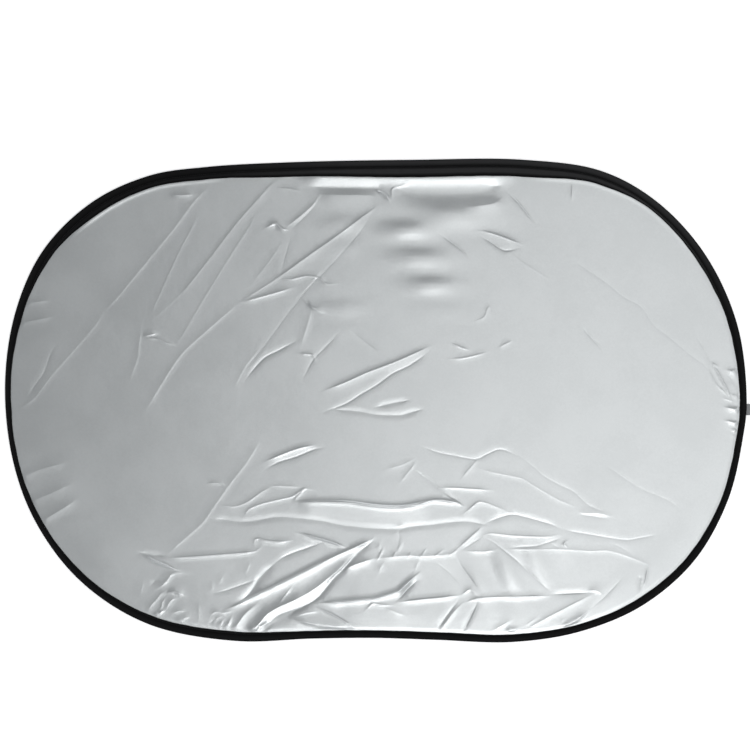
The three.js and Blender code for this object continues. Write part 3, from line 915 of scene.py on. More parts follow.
@dataclass(frozen=True)
class Wave:
    """A patch of soft waves where the cloth is slack, one below the other.

    Attributes:
        at: Middle of the patch, which is a crest.
        length: Distance from crest to crest.
        height: Height of the waves.
        reach: Reach of the patch from crest to crest and along a crest.
        turn: Turn of the whole patch in degrees.
        drift: How far each crest shifts along, as a share of its distance.
    """

    at: tuple[float, float]
    length: float
    height: float
    reach: tuple[float, float]
    turn: float
    drift: float

    def rise(self, xy: np.ndarray) -> np.ndarray:
        """Heights of the patch.

        Args:
            xy: Places, one in a row.

        Returns:
            A height for each.
        """
        turn = math.radians(self.turn)
        dx, dy = xy[:, 0] - self.at[0], xy[:, 1] - self.at[1]
        down = dx * math.sin(turn) - dy * math.cos(turn)
        across = dx * math.cos(turn) + dy * math.sin(turn) - self.drift * down
        patch = np.exp(-((down / self.reach[0]) ** 2) - (across / self.reach[1]) ** 2)
        return self.height * patch * (1 + np.cos(2 * math.pi * down / self.length))


def fold(rise: float, shade: float, light: float, *points: tuple[float, float]) -> Crease:
    """A crease, given by its slopes on the two sides that the light tells apart.

    Args:
        rise: Height of the crest, negative for a valley.
        shade: Width of the slope towards the upper left.
        light: Width of the slope towards the lower right.
        points: Where it runs.

    Returns:
        The crease.
    """
    dx, dy = points[-1][0] - points[0][0], points[-1][1] - points[0][1]
    left, right = (light, shade) if -dy - dx > 0 else (shade, light)
    return Crease(rise, left, right, points)


def ridge(rise: float, *points: tuple[float, float]) -> Crease:
    """A thin crest: dark towards the upper left and bright towards the lower right."""
    return fold(rise, THIN_SLOPE, THIN_SLOPE, *points)


def valley(rise: float, *points: tuple[float, float]) -> Crease:
    """A thin valley: bright towards the upper left and dark towards the lower right."""
    return fold(-rise, THIN_SLOPE, THIN_SLOPE, *points)


def glint(rise: float, *points: tuple[float, float]) -> Crease:
    """A thin crest that only shows as a bright line."""
    return fold(rise, GLINT_BACK_SLOPE, THIN_SLOPE, *points)


LONG_PULLS = (
    glint(0.28, (-292, 376), (-319, 349), (-354, 302), (-404, 241), (-451, 184), (-475, 159)),
    glint(0.23, (-475, 159), (-494, 130), (-532, 86), (-568, 45), (-600, 4), (-632, -18)),
    valley(0.25, (-559, 100), (-570, 83), (-582, 50), (-600, 24), (-620, -8)),
    ridge(0.16, (-313, 325), (-325, 299), (-348, 255), (-377, 191), (-397, 148)),
    glint(0.13, (-180, 385), (-205, 354), (-240, 316), (-290, 252), (-340, 190), (-397, 137)),
    fold(0.27, 4, 16, (-150, 392), (-175, 386), (-203, 358), (-249, 305), (-300, 238), (-348, 179)),
    ridge(0.15, (-208, 334), (-220, 308), (-243, 273), (-287, 203), (-331, 129), (-350, 97)),
    ridge(0.37, (4, 341), (-20, 326), (-40, 310), (-80, 281), (-100, 267), (-170, 217), (-240, 172)),
    fold(0.52, 5, 20, (4, 341), (-40, 310), (-80, 281), (-120, 254), (-170, 217)),
    glint(0.34, (-240, 172), (-299, 121), (-337, 86), (-363, 50), (-404, -17)),
    fold(1.06, 6, 5, (-141, 200), (-185, 187), (-240, 172)),
)

UPPER_TURNS = (
    glint(0.28, (-98, 362), (-111, 343), (-141, 317), (-161, 303)),
    fold(0.45, 4, 6, (-98, 362), (-111, 343), (-141, 317), (-161, 303)),
    valley(0.23, (-100, 355), (-117, 331), (-144, 305), (-152, 300)),
    ridge(1.57, (-193, 304), (-176, 311), (-164, 302), (-152, 300)),
    ridge(0.15, (-163, 280), (-190, 241), (-217, 206)),
    valley(0.16, (-149, 290), (-158, 258), (-168, 223)),
    valley(
        0.17, (-8, 330), (-24, 302), (-53, 267), (-88, 229), (-117, 200), (-152, 156), (-193, 100), (-228, 57)
    ),
    ridge(0.72, (-170, 219), (-152, 213), (-123, 219), (-100, 216), (-88, 206), (-65, 206)),
    glint(0.34, (-112, 164), (-119, 135), (-127, 110), (-131, 92)),
    valley(0.77, (-138, 106), (-168, 90), (-195, 76), (-214, 56), (-228, 38)),
    ridge(0.5, (-128, 180), (-119, 170), (-112, 164), (-99, 163)),
    glint(1.15, (-119, 178), (-110, 163), (-88, 154)),
    valley(0.36, (-66, 119), (-88, 95), (-111, 71), (-129, 36)),
    valley(0.41, (-49, 128), (-27, 110), (8, 82)),
    ridge(1.03, (-135, 83), (-111, 81), (-106, 71)),
    ridge(0.71, (60, 384), (45, 377), (29, 372), (28, 358), (24, 351)),
    ridge(2.45, (24, 351), (18, 360), (0, 370)),
    ridge(0.53, (-175, 373), (-150, 372), (-128, 366)),
    glint(0.17, (-132, 188), (-115, 205), (-105, 218), (-95, 230)),
)

LEFT_MARKS = (
    glint(0.23, (-410, 135), (-415, 100), (-418, 74), (-433, 33)),
    glint(1.09, (-407, 113), (-383, 119)),
    ridge(1.04, (-404, 109), (-386, 110), (-369, 103), (-351, 97)),
    glint(0.22, (-205, 90), (-228, 62), (-240, 39), (-249, 21)),
)

MIDDLE_TURNS = (
    ridge(0.39, (-91, 18), (-53, 33), (-15, 50), (17, 62), (49, 75), (96, 96)),
    fold(0.91, 5, 16, (-91, 18), (-53, 33), (-15, 50), (17, 62), (49, 75), (96, 96)),
    valley(0.67, (-94, -20), (-53, -5), (-26, 12), (0, 27), (29, 48), (58, 62), (93, 86)),
    valley(2.09, (0, -11), (29, -4), (58, 1)),
    valley(2.7, (-73, -15), (-26, -19), (0, -24), (44, -25), (58, -21), (80, -15)),
    ridge(0.56, (-196, -107), (-170, -96), (-138, -84), (-103, -76)),
    fold(0.74, 4, 8, (-196, -107), (-170, -96), (-138, -84), (-103, -76)),
    valley(0.72, (-193, -119), (-170, -107), (-141, -98), (-111, -86), (-88, -81)),
    valley(0.64, (76, -78), (108, -90), (137, -96), (175, -102), (196, -93), (219, -85), (254, -98)),
    valley(0.38, (254, -98), (277, -116), (298, -134), (324, -148), (348, -160), (375, -184), (408, -197)),
    ridge(0.47, (179, -117), (201, -124), (254, -135), (272, -145), (318, -172), (352, -186)),
    glint(0.74, (352, -194), (370, -197), (390, -197), (418, -204)),
    valley(0.38, (356, -199), (385, -203), (408, -208)),
    ridge(0.49, (151, -135), (179, -102)),
    ridge(0.33, (73, -104), (52, -131), (41, -145)),
    ridge(0.3, (13, -120), (43, -113), (70, -100)),
    valley(2.01, (70, -122), (105, -148), (122, -161), (153, -181)),
    ridge(0.92, (108, -152), (152, -153), (207, -157)),
    ridge(0.34, (120, -165), (138, -174), (155, -186)),
)

TENT_FOLDS = (
    fold(2.21, 5, 6, (-141, -176), (-111, -175), (-53, -176), (0, -183), (35, -185), (60, -183),
         (80, -178), (100, -174), (118, -174), (140, -178), (155, -185)),
    fold(2.18, 3, 38, (-141, -178), (-53, -178), (0, -184), (35, -186), (60, -184), (100, -176)),
    fold(-2.3, 5, 4.2, (-284, -207), (-228, -212), (-176, -204), (-146, -205), (-100, -210),
         (-53, -219), (0, -224), (40, -225), (60, -221), (100, -217), (140, -212), (165, -212),
         (190, -217)),
    fold(-0.9, 4, 5, (190, -217), (205, -209), (225, -202), (240, -199), (260, -203), (300, -214),
         (325, -224)),
    valley(0.48, (325, -224), (345, -229), (380, -235), (410, -240), (440, -244), (465, -240),
           (495, -234)),
    ridge(0.45, (-278, -182), (-249, -185), (-225, -177), (-202, -161), (-179, -148)),
    ridge(0.63, (-231, -204), (-223, -190), (-199, -180), (-170, -173), (-146, -167), (-125, -154),
          (-101, -158)),
    ridge(0.53, (-145, -176), (-123, -152)),
    ridge(0.54, (-189, -148), (-141, -150), (-127, -154)),
    fold(0.8, 4, 6, (150, -201), (165, -189), (178, -178), (187, -177), (200, -181), (220, -189),
         (237, -197)),
    ridge(2.42, (-137, -231), (-120, -235), (-100, -241), (-85, -245), (-70, -250), (-48, -259)),
    fold(-0.83, 4, 5, (-92, -248), (-125, -259), (-150, -268), (-166, -276), (-176, -284)),
    fold(-1.42, 6, 9, (-176, -284), (-192, -298), (-206, -314), (-218, -332), (-232, -347), (-250, -358)),
    fold(-0.52, 4, 4, (-205, -312), (-225, -319), (-245, -326), (-262, -332), (-285, -338)),
    fold(2.07, 5, 8, (-262, -365), (-240, -356), (-200, -336), (-160, -317), (-120, -297),
         (-80, -276), (-40, -258), (-4, -241)),
    fold(1.03, 3, 30, (-230, -352), (-200, -336), (-160, -317), (-120, -297), (-80, -276)),
    fold(
        2.99, 15, 15, (-224, -414), (-215, -402), (-203, -388), (-190, -373), (-170, -361), (-145, -350),
        (-118, -336),
    ),
    fold(1.34, 12, 7, (-135, -344), (-118, -336), (-100, -324), (-84, -311), (-66, -297),
         (-50, -281), (-34, -264)),
    fold(-2.8, 12, 5.5, (-204, -414), (-196, -402), (-180, -386), (-168, -377), (-148, -369), (-128, -361),
         (-110, -351)),
    fold(-2.21, 6, 5, (-120, -357), (-110, -351), (-100, -343), (-88, -329), (-75, -313),
         (-58, -296), (-40, -276), (-22, -259), (-6, -246)),
    fold(0.63, 8, 4, (-172, -356), (-158, -340), (-147, -324)),
    fold(1.2, 9, 13, (-205, -352), (-215, -361), (-230, -374), (-241, -389), (-250, -402), (-257, -414)),
    fold(-1.9, 4, 13, (-186, -393), (-165, -378), (-140, -369)),
    fold(1.63, 6, 11, (-60, -297), (-42, -289), (-20, -281), (0, -276)),
    fold(0.83, 6, 7, (0, -276), (20, -274), (40, -272), (60, -271), (80, -272), (100, -271),
         (120, -270), (143, -264)),
    fold(0.8, 4, 6, (143, -260), (166, -239), (190, -218)),
    valley(0.41, (151, -261), (168, -250), (186, -238)),
    fold(2.5, 4.2, 8, (-100, -354), (-60, -352), (-20, -348), (0, -346), (20, -340), (40, -333),
         (50, -324), (62, -313), (76, -302)),
    fold(-1.37, 4, 5, (34, -351), (46, -341), (56, -329), (72, -315)),
    fold(1.45, 4, 6, (36, -353), (80, -348), (120, -344), (150, -340)),
    ridge(0.76, (150, -342), (157, -335), (165, -330), (172, -335), (178, -342)),
    fold(1.15, 4, 5, (155, -354), (175, -347), (200, -344), (250, -343), (305, -342)),
    valley(1.13, (308, -339), (345, -337), (378, -336)),
    fold(1.57, 4, 4, (-110, -359), (-78, -373), (-52, -388), (-26, -406)),
    fold(2.7, 20, 8, (-150, -381), (-122, -388), (-92, -393), (-60, -397), (-40, -400)),
    glint(0.77, (-142, -377), (-120, -371), (-98, -369)),
    valley(0.64, (103, -410), (110, -397), (128, -371), (147, -347)),
    ridge(0.64, (110, -410), (117, -397), (136, -371), (156, -351)),
    valley(1.01, (148, -416), (153, -404), (166, -378), (178, -352)),
    ridge(0.97, (-18, -367), (-5, -355), (10, -357), (32, -358)),
    ridge(0.54, (18, -363), (50, -376)),
    valley(0.7, (142, -275), (150, -290), (165, -310), (179, -330)),
    valley(0.6, (105, -282), (130, -302), (150, -325)),
    valley(0.22, (39, -218), (41, -240), (36, -262)),
)

GATHERS = (
    ridge(0.58, (3, -279), (8, -269), (13, -257)),
    ridge(0.51, (29, -275), (36, -263)),
    ridge(0.33, (56, -276), (63, -263)),
    ridge(0.45, (76, -277), (84, -266), (89, -258)),
    ridge(0.48, (101, -275), (110, -267), (121, -260)),
    ridge(0.46, (126, -273), (136, -266), (145, -258)),
    glint(0.44, (38, -268), (42, -257), (48, -246)),
    glint(0.5, (6, -262), (7, -248)),
    glint(0.33, (69, -298), (74, -284), (79, -275)),
    glint(0.46, (6, -302), (9, -292), (14, -284)),
    glint(0.35, (40, -219), (46, -216)),
)

LOWER_LEFT_MARKS = (
    glint(
        0.28, (-200, -66), (-228, -110), (-255, -145), (-284, -186), (-304, -214), (-333, -240), (-367, -270)
    ),
    ridge(1.13, (-362, -275), (-320, -273), (-280, -270), (-240, -267), (-213, -264), (-204, -258)),
    valley(1.73, (-413, -265), (-392, -270), (-370, -272)),
    ridge(3, (-410, -269), (-388, -280), (-366, -289), (-345, -297)),
    ridge(0.71, (-296, -144), (-275, -144), (-263, -150)),
    ridge(1.19, (-213, -251), (-212, -243), (-204, -241), (-195, -244), (-170, -247), (-147, -244)),
    fold(0.61, 12, 5, (-325, -304), (-340, -301), (-356, -303), (-363, -310), (-368, -318), (-377, -325),
         (-388, -331)),
    fold(1.9, 7, 6, (-336, -341), (-353, -334), (-366, -336)),
    fold(0.48, 8, 6, (-362, -332), (-376, -338), (-386, -350), (-393, -357), (-404, -374)),
    fold(0.54, 9, 5, (-345, -345), (-357, -348), (-364, -357), (-367, -366)),
    fold(0.45, 4, 4, (-366, -344), (-374, -352), (-376, -362), (-384, -372)),
    fold(0.55, 12, 4, (-356, -372), (-345, -368), (-334, -368)),
    fold(-0.38, 8, 8, (-384, -312), (-395, -324)),
    fold(0.33, 4, 4, (-366, -316), (-375, -318), (-379, -313)),
    ridge(1.42, (-396, -380), (-378, -370), (-369, -367)),
    ridge(0.48, (-352, -387), (-345, -384), (-338, -384)),
    glint(0.56, (-325, -378), (-338, -382), (-341, -391)),
    glint(0.2, (-408, -318), (-412, -340)),
    glint(0.22, (-267, -307), (-277, -322)),
    glint(0.25, (-288, -318), (-286, -334)),
    glint(0.27, (-220, -283), (-228, -302)),
    fold(0.21, 6, 6, (-310, -350), (-310, -392)),
)

BOTTOM_FAN = (
    fold(0.6, 5, 4, (-290, -376), (-281, -369), (-268, -371), (-250, -368)),
    fold(0.24, 4, 3, (-282, -385), (-276, -379), (-268, -377)),
    fold(1.02, 6, 4, (-252, -378), (-258, -390), (-266, -404), (-272, -414)),
    fold(0.57, 4, 3, (-266, -382), (-273, -392), (-277, -404), (-280, -414)),
    fold(-0.38, 4, 4, (-283, -383), (-290, -390), (-294, -400)),
    fold(0.32, 3, 3, (-296, -386), (-293, -396), (-284, -402)),
    fold(0.25, 3, 3, (-305, -392), (-303, -402)),
    glint(1.44, (-220, -402), (-212, -397)),
    valley(1.66, (-210, -404), (-200, -395), (-190, -389)),
    fold(0.72, 7, 5, (204, -403), (220, -394), (238, -384)),
    ridge(2.35, (228, -402), (252, -398)),
    fold(2.12, 9, 6, (318, -404), (334, -393), (352, -383), (374, -366)),
    ridge(0.36, (322, -390), (332, -380)),
    ridge(0.87, (478, -288), (474, -310), (469, -330)),
    valley(1.06, (462, -304), (461, -335)),
    ridge(0.32, (262, -394), (285, -378)),
)

LOWER_RIGHT_MARKS = (
    ridge(0.75, (188, -235), (203, -232), (240, -236), (300, -238), (322, -234)),
    valley(0.61, (236, -257), (280, -254), (305, -247), (328, -239)),
    ridge(0.44, (225, -260), (280, -260), (330, -260), (375, -263), (405, -262), (430, -268), (455, -277),
          (482, -288)),
    valley(0.28, (305, -248), (318, -256), (326, -260)),
    ridge(0.91, (338, -243), (330, -250), (337, -257)),
    valley(0.67, (190, -240), (205, -247), (220, -258), (245, -278), (262, -294), (285, -315), (310, -338)),
    ridge(0.74, (262, -401), (300, -380), (325, -367), (350, -354), (382, -338)),
    glint(1.34, (374, -333), (385, -332), (396, -338)),
    valley(0.53, (432, -310), (420, -323), (405, -339), (390, -353), (378, -363)),
    ridge(0.78, (155, -263), (190, -264), (213, -260)),
    valley(0.23, (400, -110), (435, -135), (465, -154), (494, -166), (517, -177), (535, -192)),
    valley(0.2, (410, -250), (430, -257), (452, -270)),
)

UPPER_RIGHT_MARKS = (
    fold(1.31, 4, 6, (176, 297), (187, 298), (215, 290), (257, 274)),
    valley(0.98, (182, 290), (201, 279), (219, 267), (231, 264), (250, 268)),
    ridge(0.29, (234, 261), (260, 241), (289, 223), (310, 206)),
    valley(0.25, (342, 249), (377, 226), (406, 206), (435, 182), (465, 165), (488, 132),
           (514, 112), (552, 80), (579, 59), (605, 18)),
    valley(0.43, (561, 115), (575, 90), (584, 62)),
    ridge(1.19, (584, 72), (596, 55), (605, 39), (614, 22), (620, 8), (624, -3)),
    ridge(0.76, (584, 60), (591, 41), (600, 25), (612, 14), (619, 2)),
    ridge(0.71, (588, 66), (595, 63), (601, 58)),
    valley(0.7, (228, 369), (251, 346), (269, 323), (280, 311)),
    ridge(0.65, (345, 384), (344, 350)),
    ridge(0.43, (169, 138), (190, 147), (198, 165), (207, 153)),
    ridge(0.77, (128, 74), (152, 75), (187, 83), (198, 87)),
    ridge(0.95, (131, 102), (149, 94), (166, 89)),
    ridge(0.65, (216, 94), (240, 106)),
    valley(0.57, (359, 132), (377, 112), (397, 89)),
    valley(0.65, (105, 297), (130, 280), (150, 265), (163, 249)),
    ridge(0.87, (195, 385), (212, 394)),
)

TAPE_PUCKERS = (
    fold(0.95, 9, 10, (-645, 132), (-616, 138), (-590, 143), (-563, 148)),
    fold(1.0, 7, 8, (-635, 170), (-603, 173), (-570, 176)),
    fold(0.79, 14, 15, (-645, -142), (-616, -132), (-585, -119), (-541, -108)),
    fold(0.78, 13, 16, (-628, -186), (-600, -174), (-570, -162), (-530, -144)),
    fold(0.9, 13, 12, (-598, -220), (-572, -203), (-548, -188), (-520, -170)),
    fold(1.62, 7, 9, (656, 46), (640, 48), (628, 51), (610, 55)),
    fold(-0.85, 7, 7, (615, 48), (629, 33), (640, 20), (652, 8)),
    fold(1.1, 5, 6, (656, 2), (640, 5), (632, 7), (619, 13)),
    fold(0.57, 4, 4, (628, -1), (618, 2), (606, 6)),
    fold(1.97, 7, 10, (658, -18), (642, -16), (628, -14), (607, -10)),
    fold(1.66, 6, 8, (657, -43), (641, -40), (628, -38), (608, -33)),
    fold(2.14, 4, 5, (652, -55), (640, -53), (622, -50)),
    fold(1.9, 4, 4, (650, -66), (638, -63), (624, -61)),
)

TOP_BAND = (
    fold(-1.34, 22, 14, (-118, 376), (-60, 374), (-30, 374), (0, 373), (24, 362)),
    fold(1.0, 12, 22, (-104, 362), (-60, 361), (-30, 361), (0, 359)),
    fold(-1.93, 22, 30, (30, 372), (60, 368), (100, 365), (150, 366), (185, 369), (222, 380)),
    fold(1.46, 12, 22, (164, 340), (180, 342), (205, 346), (222, 356)),
    fold(1.48, 8, 8, (-362, 362), (-340, 361), (-318, 362)),
)

WAVES = (
    Wave((75, 250), 49, 1.7, (76, 48), 0.0, 0.45),
    Wave((-65, 162), 44, 0.8, (34, 42), 0.0, 0.0),
    Wave((135, 326), 84, 2.3, (40, 66), 0.0, 0.0),
    Wave((-60, 310), 46, 0.8, (56, 36), 0.0, 0.0),
    Wave((232, -300), 56, 1.7, (80, 44), 115.0, 0.0),
    Wave((58, 301), 49, 1.2, (24, 40), 0.0, 0.0),
    Wave((96, 202), 46, 0.7, (26, 34), 0.0, 0.0),
    Wave((188, 345), 44, 0.8, (14, 28), 0.0, 0.0),
)

ALL_CREASES = (
    *LONG_PULLS, *UPPER_TURNS, *LEFT_MARKS, *MIDDLE_TURNS, *TENT_FOLDS, *GATHERS, *LOWER_LEFT_MARKS,
    *BOTTOM_FAN, *LOWER_RIGHT_MARKS, *UPPER_RIGHT_MARKS, *TAPE_PUCKERS, *TOP_BAND,
)


class CreaseField:
    """The height of the cloth over its flat plane."""

    def __init__(self, creases: Sequence[Crease], waves: Sequence[Wave], step: float = 3.0) -> None:
        """Draws every crease as a smooth line.

        Args:
            creases: The creases.
            waves: The patches of soft waves.
            step: Distance between the points of a crease.
        """
        self.creases = creases
        self.waves = waves
        self.paths = [one.path(step) for one in creases]

    def height(self, xy: np.ndarray) -> np.ndarray:
        """Heights of the cloth.

        Args:
            xy: Places, one in a row.

        Returns:
            Heights over the flat plane, in millimetres.
        """
        total = np.zeros(len(xy))
        for one, path in zip(self.creases, self.paths):
            near = self._near(xy, path, max(one.left, one.right))
            total[near] += self._one(one, path, xy[near])
        for wave in self.waves:
            total += wave.rise(xy)
        return total

    @staticmethod
    def _near(xy: np.ndarray, path: np.ndarray, reach: float) -> np.ndarray:
        """Indices of the places that a crease can reach."""
        low, high = path.min(axis=0) - reach, path.max(axis=0) + reach
        return np.nonzero(((xy > low) & (xy < high)).all(axis=1))[0]

    @staticmethod
    def _one(one: Crease, path: np.ndarray, xy: np.ndarray) -> np.ndarray:
        """Heights that one crease gives to places near it.

        Args:
            one: The crease.
            path: Points along it.
            xy: Places, one in a row.

        Returns:
            Heights in millimetres.
        """
        best = np.full(len(xy), np.inf)
        side = np.ones(len(xy))
        along = np.zeros(len(xy))
        run = 0.0
        for a, b in zip(path[:-1], path[1:]):
            leg = b - a
            length = float(np.hypot(*leg))
            unit = leg / length
            rel = xy - a
            t = np.clip(rel @ unit, 0, length)
            off = rel - t[:, None] * unit
            far = np.hypot(off[:, 0], off[:, 1])
            closer = far < best
            best = np.where(closer, far, best)
            turn = unit[0] * rel[:, 1] - unit[1] * rel[:, 0]
            side = np.where(closer, turn, side)
            along = np.where(closer, run + t, along)
            run += length
        to_end = np.minimum(along, run - along)
        risen = smooth(0, min(run / CREASE_END_PART, CREASE_END), to_end)
        fade = CREASE_END_SHARE + (1 - CREASE_END_SHARE) * risen
        width = np.where(side > 0, one.left, one.right)
        return one.rise * fade * np.maximum(0, 1 - best / width) ** SLOPE_POWER


# Meshes


def put(name: str, data: Union[bpy.types.ID, None]) -> bpy.types.Object:
    """Puts a new object with its data into the scene.

    Args:
        name: Name of the object.
        data: Its mesh, light or camera.

    Returns:
        The object.
    """
    made = bpy.data.objects.new(name, data)
    bpy.context.scene.collection.objects.link(made)
    return made


def strip_faces(
    rows: int, ring: int, along: np.ndarray, across: np.ndarray, closed: bool
) -> tuple[np.ndarray, np.ndarray]:
    """Faces between rings of points that follow each other, with their UV coordinates.

    Args:
        rows: Number of rings.
        ring: Points in a ring.
        along: Length along the piece at each ring, with one more where it is closed.
        across: Length round the ring at each point and back at the first.
        closed: Whether the last ring joins the first.

    Returns:
        Faces of four corners, and a UV coordinate in metres for every corner.
    """
    i, j = np.meshgrid(np.arange(rows if closed else rows - 1), np.arange(ring), indexing="ij")
    k, n = (i + 1) % rows, (j + 1) % ring
    faces = np.stack([i * ring + j, k * ring + j, k * ring + n, i * ring + n], axis=2).reshape(-1, 4)
    u = np.stack([along[i], along[i + 1], along[i + 1], along[i]], axis=2)
    v = np.stack([across[j], across[j], across[j + 1], across[j + 1]], axis=2)
    return faces, np.stack([u, v], axis=3).reshape(-1, 2) * MM


class MeshMaker:
    """Turns points and faces into finished pieces in the shared frame."""

    def __init__(self, offset: np.ndarray) -> None:
        """Remembers how far the hoop's middle is from the frame's origin.

        Args:
            offset: Move in millimetres, X and Y.
        """
        self.offset = offset

    def to_frame(self, points: np.ndarray) -> np.ndarray:
        """Points in metres in the shared frame."""
        return (points + (*self.offset, 0.0)) * MM

    def piece(
        self,
        name: str,
        points: np.ndarray,
        faces: np.ndarray,
        materials: Sequence[bpy.types.Material],
        choice: Union[np.ndarray, None] = None,
        uv: Union[np.ndarray, None] = None,
        painted_light: Union[np.ndarray, None] = None,
    ) -> bpy.types.Object:
        """Makes a smooth piece.

        Args:
            name: Name of the piece.
            points: Points in millimetres round the hoop's middle.
            faces: Corner indices, all faces with as many corners.
            materials: Materials of the piece.
            choice: Which material each face has.
            uv: UV coordinates of each face corner, in metres.
            painted_light: How much painted highlight each point has, from 0 to 1, low where painted shade is.

        Returns:
            The new object.
        """
        mesh = bpy.data.meshes.new(name)
        size = faces.shape[1]
        mesh.vertices.add(len(points))
        mesh.vertices.foreach_set("co", self.to_frame(points).astype(np.float32).ravel())
        mesh.loops.add(faces.size)
        mesh.loops.foreach_set("vertex_index", faces.astype(np.int32).ravel())
        mesh.polygons.add(len(faces))
        mesh.polygons.foreach_set("loop_start", np.arange(0, faces.size, size, dtype=np.int32))
        mesh.polygons.foreach_set("use_smooth", np.ones(len(faces), dtype=bool))
        for material in materials:
            mesh.materials.append(material)
        if choice is not None:
            mesh.polygons.foreach_set("material_index", choice.astype(np.int32))
        if uv is not None:
            layer = mesh.uv_layers.new(name="UVMap")
            layer.data.foreach_set("uv", uv.astype(np.float32).ravel())
        if painted_light is not None:
            light_paint = mesh.attributes.new(PAINTED_LIGHT_NAME, "FLOAT", "POINT")
            light_paint.data.foreach_set("value", painted_light.astype(np.float32).ravel())
        mesh.update(calc_edges=True)
        mesh.validate()
        return put(name, mesh)


def report(piece: bpy.types.Object) -> None:
    """Logs a finished piece."""
    faces = sum(len(face.vertices) - 2 for face in piece.data.polygons)
    log.info("%s: %d triangles", piece.name, faces)


class PointSet:
    """Points in the plane that keep a gap from each other."""

    def __init__(self) -> None:
        """Starts with no points."""
        self.kept: list[tuple[float, float]] = []
        self.squares: dict[tuple[int, int], list[int]] = {}

    def take(self, x: float, y: float, gap: float) -> int:
        """Keeps a point unless another is nearer than the gap.

        Args:
            x: Place along the shade.
            y: Place across the shade.
            gap: Least distance to another point, at most a square's side.

        Returns:
            Index of the point, or of the one that is in its way.
        """
        column, row = int(x // SQUARE), int(y // SQUARE)
        nearest, found = gap * gap, -1
        for i in (column - 1, column, column + 1) if gap else ():
            for j in (row - 1, row, row + 1):
                for index in self.squares.get((i, j), ()):
                    px, py = self.kept[index]
                    far = (px - x) ** 2 + (py - y) ** 2
                    if far < nearest:
                        nearest, found = far, index
        if found >= 0:
            return found
        self.kept.append((x, y))
        self.squares.setdefault((column, row), []).append(len(self.kept) - 1)
        return len(self.kept) - 1

    def take_all(self, points: np.ndarray, gap: float = 0.0) -> None:
        """Keeps the points of a list that have room."""
        for x, y in points:
            self.take(x, y, gap)


